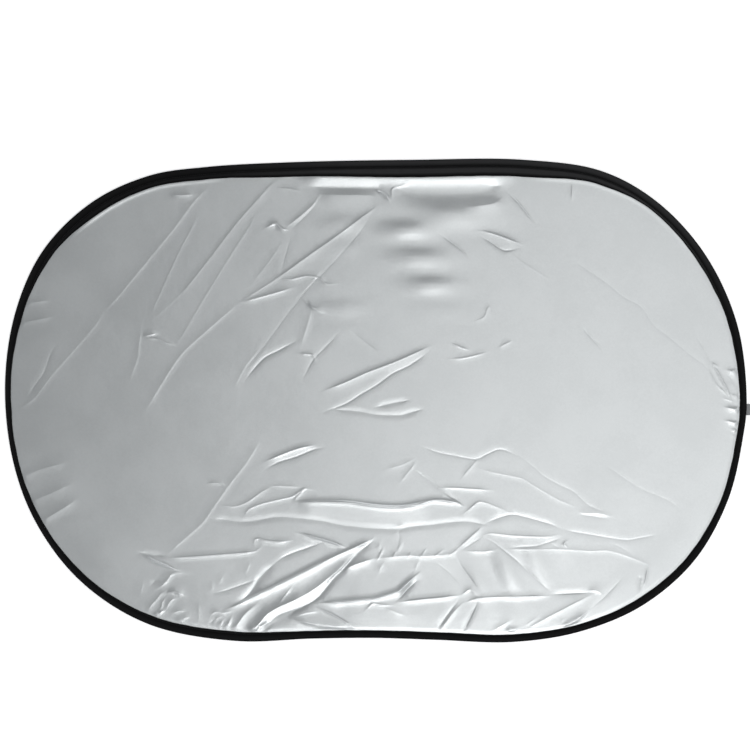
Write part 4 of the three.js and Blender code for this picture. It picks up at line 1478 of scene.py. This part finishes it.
@dataclass
class ClothPanel:
    """The silver cloth, from its cut edge inside the tape to all its creases, in millimetres.

    Attributes:
        hoop: The hoop that holds it.
        creases: Its creases.
        sag: How much the open cloth sags below the hoop's middle.
        sag_run: Over what distance past the back flap it comes to sag.
        sag_start: How far past the back flap it starts to sag.
        room_run: Over what distance past the back flap the floor comes within its reach.
        swell: How much it stands up over the back flap along the lower and right side.
        swell_run: Over what distance past the back flap it comes down again.
        flap_start: How far past the tape the creases start.
        flap_fade: Over what distance they reach their height.
        cut_gap: Distance of the cut edge from the wire's pocket.
        under_ring: Depth under the tape of a row of points.
        edge_rings: Distances of rows of points past the tape's inner edge.
        seam_gap: Gap that the points under the seam keep from others.
        crest_start: How far past the tape the points of the crests start.
        crest_gap: Gap that the points of a crest keep from others.
        rails: Distances of the rows of points beside a crest, with the gap they keep.
        grid: Spacing of the loose grid.
        grid_gap: Gap that the grid keeps from other points.
        uneven: How far a point of the grid may be off, as a share of the spacing.
        ring_step: Stations from point to point along the cut edge.
    """

    hoop: Hoop
    creases: CreaseField
    sag: float = 0.9
    sag_run: float = 90.0
    sag_start: float = 2.0
    room_run: float = 24.0
    swell: float = 0.8
    swell_run: float = 45.0
    flap_start: float = 1.5
    flap_fade: float = 3.5
    cut_gap: float = 1.0
    under_ring: float = 3.5
    edge_rings: tuple[float, ...] = (-0.8, 1.5, 3.6, 6.0, 8.6)
    seam_gap: float = 1.5
    crest_start: float = 11.0
    crest_gap: float = 0.8
    rails: tuple[tuple[float, float], ...] = (
        (1.1, 0.8), (2.4, 1.4), (3.7, 1.7), (6.2, 3.0), (11.0, 4.6)
    )
    grid: float = 8.0
    grid_gap: float = 5.0
    uneven: float = 1 / 6
    ring_step: int = 2

    def __post_init__(self) -> None:
        """Draws the line from which the creases start."""
        hoop, step = self.hoop, 2 * self.ring_step
        self.edge = Inside(hoop.ring(hoop.front + self.flap_start)[::step])
        self.front, self.out = hoop.front[::step], hoop.out[::step]

    def build(
        self, maker: MeshMaker, front: bpy.types.Material, back: bpy.types.Material
    ) -> bpy.types.Object:
        """Makes the cloth with its two faces and cut edge.

        Args:
            maker: Turns points into pieces.
            front: Material of the face that is seen.
            back: Material of the underside and the edge.

        Returns:
            The cloth.
        """
        xy, triangles = self._flat()
        rim = self._rim(triangles)
        middle = self._height(xy)
        half = self.hoop.size.cloth / 2
        points = np.concatenate([np.column_stack([xy, middle + side]) for side in (half, -half)])
        count, after = len(xy), np.roll(rim, -1)
        wall = np.concatenate([
            np.column_stack([rim, rim + count, after + count]),
            np.column_stack([rim, after + count, after]),
        ])
        faces = np.concatenate([triangles, triangles[:, ::-1] + count, wall])
        choice = (np.arange(len(faces)) >= len(triangles)).astype(int)
        return maker.piece("silver_panel", points, faces, [front, back], choice)

    def _flat(self) -> tuple[np.ndarray, np.ndarray]:
        """Points of the flat cloth and its triangles.

        Returns:
            Places, one in a row, and corner indices of the triangles.
        """
        hoop, step = self.hoop, self.ring_step
        cut = hoop.ring(hoop.middle + hoop.pocket + self.cut_gap)[::step]
        room = Inside(hoop.ring(hoop.front + self.crest_start)[:: 2 * step])
        points = PointSet()
        points.take_all(cut)
        points.take_all(hoop.ring(hoop.front - self.under_ring)[::step])
        for past in self.edge_rings:
            points.take_all(hoop.ring(hoop.front + past))
        points.take_all(hoop.ring(hoop.seam)[::step], self.seam_gap)
        legs = [(i, (i + 1) % len(cut)) for i in range(len(cut))]
        legs += self._crests(points, room)
        for rail, gap in self.rails:
            for path in self.creases.paths:
                way = directions(path)
                side = np.column_stack([-way[:, 1], way[:, 0]]) * rail
                both = np.concatenate([path + side, path - side])
                points.take_all(both[room.distance(both) > 0], gap)
        grid = self._grid()
        points.take_all(grid[room.distance(grid) > 0], self.grid_gap)
        return self._triangles(points, legs, Inside(cut))

    def _crests(self, points: PointSet, room: Inside) -> list[tuple[int, int]]:
        """Takes the points of the crests.

        Args:
            points: Points of the cloth, which grow.
            room: Where the crests may have points.

        Returns:
            Pairs of points that follow each other on a crest.
        """
        legs = []
        for path in self.creases.paths:
            before = -1
            for (x, y), held in zip(path, room.distance(path) > 0):
                here = points.take(x, y, self.crest_gap) if held else -1
                if before >= 0 and here >= 0 and here != before:
                    legs.append((before, here))
                before = here
        return legs

    @staticmethod
    def _triangles(
        points: PointSet, legs: list[tuple[int, int]], edge: Inside
    ) -> tuple[np.ndarray, np.ndarray]:
        """Triangles between the points.

        Args:
            points: The points.
            legs: Pairs of points that an edge has to join.
            edge: The cut edge.

        Returns:
            The points that are used and the triangles inside the cut edge, anticlockwise.
        """
        vectors = [Vector(p) for p in points.kept]
        found, _, triangles, *_ = delaunay_2d_cdt(vectors, legs, [], 0, SAME_PLACE, False)
        xy, faces = np.array([tuple(p) for p in found]), np.array(triangles)
        a, b, c = (xy[faces[:, k]] for k in range(3))
        turn = (b[:, 0] - a[:, 0]) * (c[:, 1] - a[:, 1]) - (b[:, 1] - a[:, 1]) * (c[:, 0] - a[:, 0])
        faces[turn < 0] = faces[turn < 0][:, ::-1]
        faces = faces[(edge.distance((a + b + c) / 3) > 0) & (np.abs(turn) > LEAST_TURN)]
        used = np.unique(faces)
        fresh = np.full(len(xy), -1)
        fresh[used] = np.arange(len(used))
        return xy[used], fresh[faces]

    @staticmethod
    def _rim(faces: np.ndarray) -> np.ndarray:
        """Points of the edge that only one triangle has, in order.

        Args:
            faces: Corner indices of the triangles.

        Returns:
            Indices of the points.
        """
        legs = np.concatenate([faces[:, [0, 1]], faces[:, [1, 2]], faces[:, [2, 0]]])
        pairs = {(int(a), int(b)) for a, b in legs}
        onward = {a: b for a, b in pairs if (b, a) not in pairs}
        start = next(iter(onward))
        rim, here = [start], onward[start]
        while here != start:
            rim.append(here)
            here = onward[here]
        return np.array(rim)

    def _grid(self) -> np.ndarray:
        """A loose grid, a little uneven.

        Returns:
            Places, one in a row.
        """
        size, high = self.grid, self.grid * ROW_HEIGHT
        rng = np.random.default_rng(SEED)
        rows = int(self.hoop.size.height / 2 / high) + 1
        columns = int(self.hoop.size.width / 2 / size) + 1
        row, column = np.meshgrid(np.arange(-rows, rows + 1), np.arange(-columns, columns + 1))
        x = (column + (row % 2) / 2) * size
        points = np.column_stack([x.ravel(), (row * high).ravel()]).astype(float)
        most = size * self.uneven
        return points + rng.uniform(-most, most, points.shape)

    def _height(self, xy: np.ndarray) -> np.ndarray:
        """Height of the middle of the cloth at each place.

        Args:
            xy: Places, one in a row.

        Returns:
            Heights over the frame's floor plane, in millimetres.
        """
        hoop, size = self.hoop, self.hoop.size
        inward, leg = self.edge.measure(xy)
        front, out = self.front[leg], self.out[leg]
        back = np.maximum(0, size.both_flaps - 2 * front)
        bare = inward - back - self.sag_start
        lower_right = smooth(0, 1, out[:, 0] - out[:, 1])
        swell = self.swell * lower_right * (1 - smooth(0, self.swell_run, inward - back))
        creased = (self.creases.height(xy) + swell) * smooth(0, self.flap_fade, inward)
        sag = self.sag * smooth(0, self.sag_run, bare)
        lowest = (size.cloth / 2 + size.air - hoop.roll) * smooth(0, self.room_run, bare)
        under = np.clip(1 + inward / (front - size.seam + self.flap_start), 0, 1)
        lift = hoop.lift(xy, np.maximum(inward, 0)) * under
        return hoop.level(xy) + lift + np.maximum(creased - sag, lowest)


# Painted light in the tape's base colour, a painted highlight on its crests and painted shade in the seam and
# at the inner edge: over its roll, by share of the way to the seam, and over its front flap
ROLL_PAINTED_LIGHT = (
    (0.0, 0.95), (0.14, 1.0), (0.28, 1.0), (0.42, 0.9), (0.56, 0.7), (0.68, 0.5), (0.79, 0.25),
    (0.88, 0.1), (0.95, 0.02), (1.0, 0.0),
)
FLAP_PAINTED_LIGHT = (
    (0.07, 0.1), (0.16, 0.5), (0.28, 1.0), (0.42, 1.3), (0.56, 1.2), (0.7, 0.5), (0.83, 0.1),
    (0.93, 0.0), (1.0, 0.0),
)


@dataclass(frozen=True)
class BindingSize:
    """Sizes of the edge tape's surface, in millimetres.

    Attributes:
        roll_flat: Width of the flat underside of the roll.
        fullness: How long the roll stays full on its way down to the seam.
        roll_ripple: Height of the ripple on the roll.
        puff: Height of the front flap's middle, as a share of its width.
        puff_power: How round the flap is: less is flatter on top.
        pucker: How much the puckers change the puff.
        flap_ripple: Height of the ripple on the flap.
        narrow: Width of a flap that lies flat, and width of one with all its puckers.
        valley: Depth of the valley along the seam.
        back_valley: Width and height of the same valley on the underside.
        back_fullness: How full the roll's underside is.
        edge_wobble: How uneven the inner edge is.
        lap_anchor: Anchor of the hoop where the lap is.
        lap_length: Length of the lap.
        lap_step: Length over which the lap comes down.
        shaded_painted_light: Painted highlight where the light hardly falls, as a share of the most.
        sun_along: Where along the shade the painted highlight starts to grow, and where it is full.
        sun_across: The same across the shade.
        front_sink: How deep the thread lies in the front of the tape.
        back_sink: How deep the thread lies in the underside.
    """

    roll_flat: float = 2.6
    fullness: float = 2.4
    roll_ripple: float = 0.12
    puff: float = 0.1
    puff_power: float = 0.8
    pucker: float = 0.35
    flap_ripple: float = 0.18
    narrow: tuple[float, float] = (3.0, 12.0)
    valley: float = 0.25
    back_valley: tuple[float, float] = (1.0, 0.12)
    back_fullness: float = 1.7
    edge_wobble: float = 0.15
    lap_anchor: int = 5
    lap_length: float = 26.0
    lap_step: float = 0.9
    shaded_painted_light: float = 0.2
    sun_along: tuple[float, float] = (-320.0, 40.0)
    sun_across: tuple[float, float] = (100.0, 380.0)
    front_sink: float = 0.18
    back_sink: float = 0.02


class EdgeBinding:
    """Black tape folded round the hoop, with its seam, puckers and lap."""

    def __init__(self, hoop: Hoop, size: BindingSize) -> None:
        """Remembers the sizes and draws the tape's unevenness.

        The first of the four draws has no use. It stays so that the others come out as they do.

        Args:
            hoop: The hoop that it is folded round.
            size: Sizes of its surface.
        """
        self.hoop = hoop
        self.size = size
        rng = np.random.default_rng(SEED + 1)
        _, self.pull, self.ripple, self.edge = (
            Wobble(rng, hoop.length, longest, shortest).at(hoop.along)
            for longest, shortest in ((400, 60), (34, 11), (26, 9), (220, 30))
        )
        anchor = hoop.along[size.lap_anchor * hoop.size.per_anchor]
        away = np.abs(hoop.along - anchor) - size.lap_length / 2
        self.lap = 1 - smooth(0, size.lap_step, away)

    def front_height(self, depth: np.ndarray) -> np.ndarray:
        """Height of the tape's front face over the hoop's middle plane.

        Args:
            depth: Depth in from the edge at every station.

        Returns:
            A height for every station.
        """
        hoop, size = self.hoop, self.size
        flat = hoop.size.cloth / 2 + hoop.size.air + hoop.size.tape
        top = hoop.pocket + hoop.size.tape
        share = np.clip((depth - hoop.middle) / (hoop.seam - hoop.middle), 0, 1)
        fall = np.clip(share, 0, 1) ** size.fullness
        roll = flat + (top - flat) * (1 - fall) + size.roll_ripple * self.ripple * np.sin(math.pi * share)
        width = hoop.front - hoop.seam
        over = np.clip((depth - hoop.seam) / width, 0, 1)
        wide = smooth(*size.narrow, width)
        puff = size.puff * width * (1 + size.pucker * self.pull * wide)
        arch = np.sin(math.pi * over)
        flap = flat + puff * arch**size.puff_power + size.flap_ripple * wide * self.ripple * arch
        raised = hoop.lift(hoop.place, np.zeros(len(hoop.place))) * over
        return np.where(depth < hoop.seam, roll, flap) + self.lap * hoop.size.tape + raised

    def section(self) -> tuple[np.ndarray, np.ndarray, np.ndarray]:
        """Depths, heights and painted light of the section at every station, round its outside and inside.

        The points follow each other: the back flap, the underside, the roll, the front flap,
        and back along the inner faces. Shares and degrees say where each stretch has points.

        Returns:
            Three arrays, a row per station and a column per point.
        """
        hoop, size = self.hoop, self.size
        tape, middle, seam = hoop.size.tape, hoop.middle, hoop.seam
        flat = hoop.size.cloth / 2 + hoop.size.air
        front = hoop.front + size.edge_wobble * self.edge
        back = hoop.size.both_flaps - hoop.front
        ones = np.ones(len(hoop.place))
        columns: list[tuple[np.ndarray, np.ndarray, float]] = []

        def add(depth: Union[np.ndarray, float], height: Union[np.ndarray, float], painted_light: float = 0.3) -> None:
            """Adds a point to the section."""
            columns.append((depth * ones, height * ones, painted_light))

        roll = hoop.pocket + tape
        low = middle + size.roll_flat / 2
        wide, high = size.back_valley
        add(back, -flat - tape)
        add(seam + wide, -flat - tape)
        add(seam, -flat - tape + high)
        for share in (0.8, 0.55, 0.3):
            drop = (roll - flat - tape) * (1 - share**size.back_fullness)
            add(low + (seam - low) * share, -flat - tape - drop)
        add(low, -roll)
        add(middle - size.roll_flat / 2, -roll)
        for turn in (-145, -165, 180, 160, 140, 120, 104):
            angle = math.radians(turn)
            lift = self.lap * tape * max(0.0, math.sin(angle)) ** 2
            add(middle + roll * math.cos(angle), (roll + lift) * math.sin(angle))
        for share, painted_light in ROLL_PAINTED_LIGHT:
            depth = middle + (seam - middle) * share
            dimple = size.valley if share == 1.0 else 0.0
            add(depth, self.front_height(depth) - dimple, painted_light)
        for share, painted_light in FLAP_PAINTED_LIGHT:
            depth = seam + (front - seam) * share
            add(depth, self.front_height(depth), painted_light)
        for start, end, shares in (
            (seam, front, (1.0, 0.83, 0.56, 0.28, 0.1)),
            (middle, seam, (1.0, 0.79, 0.42, 0.14)),
        ):
            for share in shares:
                depth = start + (end - start) * share
                add(depth, np.maximum(self.front_height(depth) - tape - self.lap * tape, flat))
        for turn in (90, 135, 180, -135, -90):
            angle = math.radians(turn)
            add(middle + hoop.pocket * math.cos(angle), hoop.pocket * math.sin(angle))
        add(seam, -flat)
        add(back, -flat)
        depths, heights, painted_lights = zip(*columns)
        x, y = hoop.place.T
        # The painted highlight is full where the light falls on the upper edge, and weaker elsewhere
        sun = smooth(*size.sun_along, x) * smooth(*size.sun_across, y)
        light_paint = size.shaded_painted_light + (1 - size.shaded_painted_light) * sun
        return np.stack(depths, axis=1), np.stack(heights, axis=1), np.outer(light_paint, painted_lights)

    def build(self, maker: MeshMaker, material: bpy.types.Material) -> bpy.types.Object:
        """Makes the tape.

        Args:
            maker: Turns points into pieces.
            material: Black tape.

        Returns:
            The tape.
        """
        depth, height, painted_light = self.section()
        hoop = self.hoop
        xy = hoop.place[:, None] - hoop.out[:, None] * depth[:, :, None]
        z = hoop.level(hoop.place)[:, None] + height
        points = np.concatenate([xy, z[:, :, None]], axis=2).reshape(-1, 3)
        across = np.concatenate([[0.0], np.cumsum(np.hypot(np.diff(depth[0]), np.diff(height[0])))])
        across = np.append(across, across[-1] + hoop.size.tape)
        around = np.append(hoop.along, hoop.length)
        faces, uv = strip_faces(*depth.shape, around, across, True)
        return maker.piece("edge_tape", points, faces, [material], uv=uv, painted_light=painted_light)

    def seam_lines(self) -> dict[str, np.ndarray]:
        """The lines of the two rows of stitches, by the name of the row.

        Returns:
            Points in millimetres for each name.
        """
        hoop, size = self.hoop, self.size
        level = hoop.level(hoop.place)
        top = level + self.front_height(hoop.seam) - size.front_sink
        under = level - hoop.size.cloth / 2 - hoop.size.air - hoop.size.tape + size.back_sink
        xy = hoop.ring(hoop.seam)
        return {"seam_front": np.column_stack([xy, top]), "seam_back": np.column_stack([xy, under])}


@dataclass(frozen=True)
class StitchSize:
    """Sizes of the seam's stitches, in metres.

    Attributes:
        pitch: Distance from stitch to stitch.
        length: Length of a stitch.
        thread: Thickness of the thread.
        segments: Sides of a stitch.
        rings: Rings of a stitch.
    """

    pitch: float = 0.0032
    length: float = 0.0026
    thread: float = 0.00042
    segments: int = 6
    rings: int = 5


class StitchRow:
    """A row of stitches along a line, placed by Geometry Nodes."""

    def __init__(self, size: StitchSize) -> None:
        """Builds the node tree once.

        Args:
            size: Sizes of the stitches.
        """
        self.size = size
        self.tree = bpy.data.node_groups.new("Stitch Row", "GeometryNodeTree")
        self._wire()

    def _wire(self) -> None:
        """Adds the sockets, the nodes and the links."""
        face = self.tree.interface
        face.new_socket("Geometry", in_out="INPUT", socket_type="NodeSocketGeometry")
        for name in ("Pitch", "Length", "Thread"):
            face.new_socket(name, in_out="INPUT", socket_type="NodeSocketFloat")
        face.new_socket("Material", in_out="INPUT", socket_type="NodeSocketMaterial")
        face.new_socket("Geometry", in_out="OUTPUT", socket_type="NodeSocketGeometry")
        given, line, points, ball, shape, copies, real, dress, result = (
            self.tree.nodes.new(kind)
            for kind in (
                "NodeGroupInput",
                "GeometryNodeMeshToCurve",
                "GeometryNodeCurveToPoints",
                "GeometryNodeMeshUVSphere",
                "ShaderNodeCombineXYZ",
                "GeometryNodeInstanceOnPoints",
                "GeometryNodeRealizeInstances",
                "GeometryNodeSetMaterial",
                "NodeGroupOutput",
            )
        )
        points.mode = "LENGTH"
        ball.inputs["Segments"].default_value = self.size.segments
        ball.inputs["Rings"].default_value = self.size.rings
        ball.inputs["Radius"].default_value = 1 / 2
        for start, out, end, into in (
            (given, "Geometry", line, "Mesh"),
            (line, "Curve", points, "Curve"),
            (given, "Pitch", points, "Length"),
            (given, "Thread", shape, "X"),
            (given, "Thread", shape, "Y"),
            (given, "Length", shape, "Z"),
            (points, "Points", copies, "Points"),
            (points, "Rotation", copies, "Rotation"),
            (ball, "Mesh", copies, "Instance"),
            (shape, "Vector", copies, "Scale"),
            (copies, "Instances", real, "Geometry"),
            (real, "Geometry", dress, "Geometry"),
            (given, "Material", dress, "Material"),
            (dress, "Geometry", result, "Geometry"),
        ):
            self.tree.links.new(start.outputs[out], end.inputs[into])

    def along(
        self, name: str, points: np.ndarray, maker: MeshMaker, material: bpy.types.Material
    ) -> bpy.types.Object:
        """Sews a row whose end joins its start.

        Args:
            name: Name of the piece.
            points: The line, in millimetres round the hoop's middle.
            maker: Turns points into the shared frame.
            material: Thread.

        Returns:
            The stitches as a plain mesh.
        """
        placed = [tuple(p) for p in maker.to_frame(points)]
        edges = [(i, (i + 1) % len(placed)) for i in range(len(placed))]
        mesh = bpy.data.meshes.new(name + "_line")
        mesh.from_pydata(placed, edges, [])
        made = put(name, mesh)
        live = made.modifiers.new("Stitches", "NODES")
        live.node_group = self.tree
        sockets = {s.name: s.identifier for s in self.tree.interface.items_tree if s.in_out == "INPUT"}
        live[sockets["Pitch"]] = self.size.pitch
        live[sockets["Length"]] = self.size.length
        live[sockets["Thread"]] = self.size.thread
        live[sockets["Material"]] = material
        made.update_tag()
        bpy.context.view_layer.update()
        sewn = made.evaluated_get(bpy.context.evaluated_depsgraph_get())
        plain = bpy.data.meshes.new_from_object(sewn)
        made.modifiers.remove(live)
        made.data = plain
        plain.name = name
        bpy.data.meshes.remove(mesh)
        plain.polygons.foreach_set("use_smooth", np.ones(len(plain.polygons), dtype=bool))
        return made


# Degrees of the points round the end of the elastic loop
LOOP_TURNS = range(-75, 76, 15)


@dataclass(frozen=True)
class BandSize:
    """Sizes of the elastic loop, in millimetres.

    Attributes:
        width: Width of the elastic.
        thickness: Its thickness.
        overhang: How far the loop stands out past the tape.
        tuck: How far its ends go in past the tape's outer edge.
        loop: Height of the loop at its end.
        flat_past_edge: How far past the tape the upper strip lies on the lower one.
        roll_gap: How far past the wire the elastic comes down from the tape.
        cords: Number of rubber cords.
        cord_depth: Depth of the grooves between them.
        across: Points over its width.
        step: Distance of the points along it.
        round_edge: Radius of its edges.
        least_edge: Thickness at the very edge, as a share.
    """

    width: float = 20.0
    thickness: float = 0.8
    overhang: float = 45.0
    tuck: float = 24.0
    loop: float = 4.0
    flat_past_edge: float = 6.0
    roll_gap: float = 1.3
    cords: int = 14
    cord_depth: float = 0.07
    across: int = 84
    step: float = 1.2
    round_edge: float = 0.4
    least_edge: float = 0.15


class KeeperBand:
    """The grey elastic loop, folded flat, with both ends under the tape."""

    def __init__(self, hoop: Hoop, size: BandSize) -> None:
        """Remembers the sizes.

        Args:
            hoop: The hoop that it is sewn to.
            size: Sizes of the loop.
        """
        self.hoop = hoop
        self.size = size

    def _path(self) -> np.ndarray:
        """Middle line of the elastic from its lower end, round the loop, to its upper end.

        Returns:
            Distance past the outer edge and height of each point.
        """
        size, hoop = self.size, self.hoop
        half = size.thickness / 2
        stack = hoop.size.band_stack
        lift = hoop.roll - hoop.size.cloth / 2 - hoop.size.air - hoop.size.tape
        roll_end = -float(hoop.middle[0]) - size.roll_gap
        seam = -float(hoop.seam[0])
        bend = size.overhang - size.loop / 2
        radius = size.loop / 2 - half
        lower = [(-size.tuck, lift + half), (seam, lift + half), (roll_end, half), (bend, half)]
        arc = [
            (bend + radius * math.cos(turn), size.loop / 2 + radius * math.sin(turn))
            for turn in np.radians(LOOP_TURNS)
        ]
        upper = [
            (bend, size.loop - half),
            (size.flat_past_edge, stack - half),
            (roll_end, stack - half),
            (seam, stack + lift - half),
            (-size.tuck, stack + lift - half),
        ]
        corners = np.array(lower + arc + upper)
        out = [corners[:1]]
        for a, b in zip(corners[:-1], corners[1:]):
            count = max(1, int(np.hypot(*(b - a)) / size.step))
            out.append(a + (b - a) * (np.arange(1, count + 1) / count)[:, None])
        return np.concatenate(out)

    def build(self, maker: MeshMaker, material: bpy.types.Material) -> bpy.types.Object:
        """Makes the elastic.

        Args:
            maker: Turns points into pieces.
            material: Grey elastic.

        Returns:
            The elastic.
        """
        size = self.size
        path = self._path()
        way = directions(path)
        up = np.column_stack([-way[:, 1], way[:, 0]])
        half = size.width / 2
        across = np.linspace(-half, half, size.across)
        cord = np.abs(np.sin(math.pi * size.cords * (across + half) / size.width))
        bent = ((np.abs(across) - half) / size.round_edge + 1).clip(0)
        rounded = np.maximum(np.sqrt(np.clip(1 - bent**2, 0, 1)), size.least_edge)
        thick = (size.thickness / 2 - size.cord_depth * (1 - cord)) * rounded
        section_y = np.concatenate([across, across[::-1]])
        section_h = np.concatenate([-thick, thick[::-1]])
        points = np.empty((len(path), len(section_y), 3))
        points[:, :, 0] = path[:, 0, None] + up[:, 0, None] * section_h + self.hoop.size.width / 2
        points[:, :, 1] = section_y + self.hoop.size.band_y
        points[:, :, 2] = path[:, 1, None] + up[:, 1, None] * section_h
        rows, ring = points.shape[:2]
        steps = np.concatenate([[0.0], np.cumsum(np.hypot(*np.diff(path, axis=0).T))])
        place = np.append(section_y, section_y[0])
        faces, uv = strip_faces(rows, ring, steps, place, False)
        ends, end_uv = self._ends(rows, ring)
        turned = [0, 3, 2, 1]
        faces = np.concatenate([faces[:, turned], ends])
        uv = np.concatenate([uv.reshape(-1, 4, 2)[:, turned].reshape(-1, 2), end_uv])
        return maker.piece("elastic_loop", points.reshape(-1, 3), faces, [material], uv=uv)

    def _ends(self, rows: int, ring: int) -> tuple[np.ndarray, np.ndarray]:
        """Faces that close the two cut ends, with their UV coordinates.

        Args:
            rows: Sections of the elastic.
            ring: Points in a section.

        Returns:
            Faces of four corners, and a UV coordinate for every corner.
        """
        half = ring // 2
        j = np.arange(half - 1)
        first = np.stack([j, ring - 1 - j, ring - 2 - j, j + 1], axis=1)
        last = first[:, ::-1] + (rows - 1) * ring
        ends = np.concatenate([first, last])
        return ends, np.zeros((ends.size, 2))


# Light and camera


@dataclass(frozen=True)
class StudioSize:
    """Where the light and the camera are, in metres round the hoop's middle.

    Attributes:
        aim: What the camera hangs over.
        distance: Height of the camera.
        lens: Focal length in millimetres.
        sensor: Width of the camera's picture plane in millimetres.
        floor: Width of the floor.
        floor_gap: How far the floor is under the shade.
        air: Colour of the even light.
        air_glow: Its brightness from above.
        walls_glow: Its brightness from low down.
        walls_to: Up to what height over the horizon it has the walls' brightness.
        dark_from: From what height it has the brightness from above.
    """

    aim: tuple[float, float] = (-0.0014, 0.0456)
    distance: float = 3.107
    lens: float = 85.0
    sensor: float = 36.0
    floor: float = 60.0
    floor_gap: float = 0.0002
    air: tuple[float, float, float, float] = (0.96, 0.98, 1.0, 1.0)
    air_glow: float = 0.28
    walls_glow: float = 0.85
    walls_to: float = math.radians(24)
    dark_from: float = math.radians(38)


@dataclass(frozen=True)
class Softbox:
    """A soft light.

    Attributes:
        name: Name of the light.
        place: Where it is, in metres.
        aim: What it is turned to.
        size: Width and height, in metres.
        glow: Brightness of its face.
    """

    name: str
    place: tuple[float, float, float]
    aim: tuple[float, float, float]
    size: tuple[float, float]
    glow: float

    def build(self) -> bpy.types.Object:
        """Makes the light and turns it to its aim.

        Returns:
            The light.
        """
        light = bpy.data.lights.new(self.name, "AREA")
        light.shape = "RECTANGLE"
        light.size, light.size_y = self.size
        light.energy = self.glow * math.pi * self.size[0] * self.size[1]
        made = put(self.name, light)
        made.location = self.place
        way = Vector(self.aim) - Vector(self.place)
        made.rotation_euler = way.to_track_quat("-Z", "Y").to_euler()
        return made


SOFTBOXES = (
    Softbox("Top Softbox", (1.87, -0.8, 4.2), (1.87, -0.8, 0.0), (4.5, 4.5), 0.93),
    Softbox("Near Softbox", (0.0, -2.7, 4.0), (0.0, -2.7, 0.0), (2.8, 2.4), 0.75),
    Softbox("Key Softbox", (0.5, -1.95, 2.9), (0.0, 0.0, 0.0), (1.1, 1.0), 3.9),
    Softbox("Left Fill", (-3.4, 0.4, 1.3), (0.0, 0.0, 0.0), (2.4, 1.2), 0.65),
    Softbox("Far Fill", (0.0, 3.4, 1.3), (0.0, 0.0, 0.0), (2.4, 1.2), 0.9),
    Softbox("Right Fill", (3.6, 1.0, 1.3), (0.0, 0.0, 0.0), (2.4, 1.2), 1.2),
)


class Studio:
    """The pale floor, the lights, the air's light and the camera."""

    def __init__(self, size: StudioSize, offset: np.ndarray) -> None:
        """Remembers where the hoop's middle is.

        Args:
            size: Sizes of the studio.
            offset: Place of the hoop's middle in the shared frame, in millimetres.
        """
        self.size = size
        self.offset = offset

    def build(self, floor: bpy.types.Material) -> None:
        """Sets up the studio.

        Args:
            floor: Material of the floor.
        """
        self._floor(floor)
        for softbox in SOFTBOXES:
            softbox.build()
        self._air()
        self._camera()
        view = bpy.context.scene.view_settings
        view.view_transform = "Standard"
        view.look = "None"

    def _floor(self, material: bpy.types.Material) -> None:
        """Lays the floor.

        Args:
            material: Material of the floor.
        """
        half, z = self.size.floor / 2, -self.size.floor_gap
        mesh = bpy.data.meshes.new("floor")
        corners = [(x * half, y * half, z) for x, y in ((-1, -1), (1, -1), (1, 1), (-1, 1))]
        mesh.from_pydata(corners, [], [(0, 1, 2, 3)])
        mesh.materials.append(material)
        put("floor", mesh)

    def _air(self) -> None:
        """Sets the even light from all sides: pale walls low down, and less from above."""
        world = bpy.data.worlds.new("Studio Air")
        bpy.context.scene.world = world
        world.use_nodes = True
        nodes, link = world.node_tree.nodes, world.node_tree.links.new
        back = nodes["Background"]
        back.inputs["Color"].default_value = self.size.air
        way, parts, fade = (nodes.new(kind) for kind in (
            "ShaderNodeTexCoord", "ShaderNodeSeparateXYZ", "ShaderNodeMapRange"
        ))
        fade.interpolation_type = "SMOOTHSTEP"
        fade.inputs["From Min"].default_value = math.sin(self.size.walls_to)
        fade.inputs["From Max"].default_value = math.sin(self.size.dark_from)
        fade.inputs["To Min"].default_value = self.size.walls_glow
        fade.inputs["To Max"].default_value = self.size.air_glow
        link(way.outputs["Generated"], parts.inputs[0])
        link(parts.outputs["Z"], fade.inputs["Value"])
        link(fade.outputs[0], back.inputs["Strength"])

    def _camera(self) -> None:
        """Hangs the camera straight over the shade."""
        lens = bpy.data.cameras.new("Camera")
        lens.type = "PERSP"
        lens.lens = self.size.lens
        lens.sensor_width = self.size.sensor
        made = put("Camera", lens)
        x, y = (np.array(self.size.aim) + self.offset * MM).tolist()
        made.location = (x, y, self.size.distance)
        made.rotation_euler = (0.0, 0.0, 0.0)
        bpy.context.scene.camera = made


# The whole shade


def dress_cad_node(node: Node, material: bpy.types.Material) -> None:
    """Gives a CAD node that is shown its material.

    Args:
        node: The CAD node.
        material: Its material.
    """
    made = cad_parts[node.value]
    made.data.materials.clear()
    made.data.materials.append(material)
    log.info("%s: dressed", node.value)


def main() -> None:
    """Builds the shade and its studio."""
    logging.basicConfig(level=logging.INFO, format="%(message)s")
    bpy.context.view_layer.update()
    palette = Palette()
    hoop = Hoop(HoopSize())
    corner = np.array(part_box(Node.BINDING.value)[0][:2]) / MM
    offset = corner - hoop.lowest_corner()
    log.info("hoop's middle at %.2f, %.2f mm", *offset)
    maker = MeshMaker(offset)

    cloth = ClothPanel(hoop, CreaseField(ALL_CREASES, WAVES))
    panel = cloth.build(maker, palette.silver.make(), palette.back.make())
    binding_maker = EdgeBinding(hoop, BindingSize())
    binding = binding_maker.build(maker, palette.tape.make())
    band = KeeperBand(hoop, BandSize()).build(maker, palette.elastic.make())

    thread = palette.thread.make()
    sewing = StitchRow(StitchSize())
    lines = binding_maker.seam_lines()
    front_row, back_row = (sewing.along(name, line, maker, thread) for name, line in lines.items())

    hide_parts(Node.PANEL.value)
    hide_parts(Node.BINDING.value)
    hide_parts(Node.BAND.value)
    for piece, slot in (
        (panel, Slot.CLOTH),
        (binding, Slot.TAPE),
        (front_row, Slot.TAPE),
        (back_row, Slot.TAPE),
        (band, Slot.ELASTIC),
    ):
        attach(piece, "root")
        report(piece)
    dress_cad_node(Node.WIRE, palette.steel.make())
    dress_cad_node(Node.FERRULE, palette.sleeve.make())

    Studio(StudioSize(), offset).build(palette.floor.make())


if __name__ == "__main__":
    main()
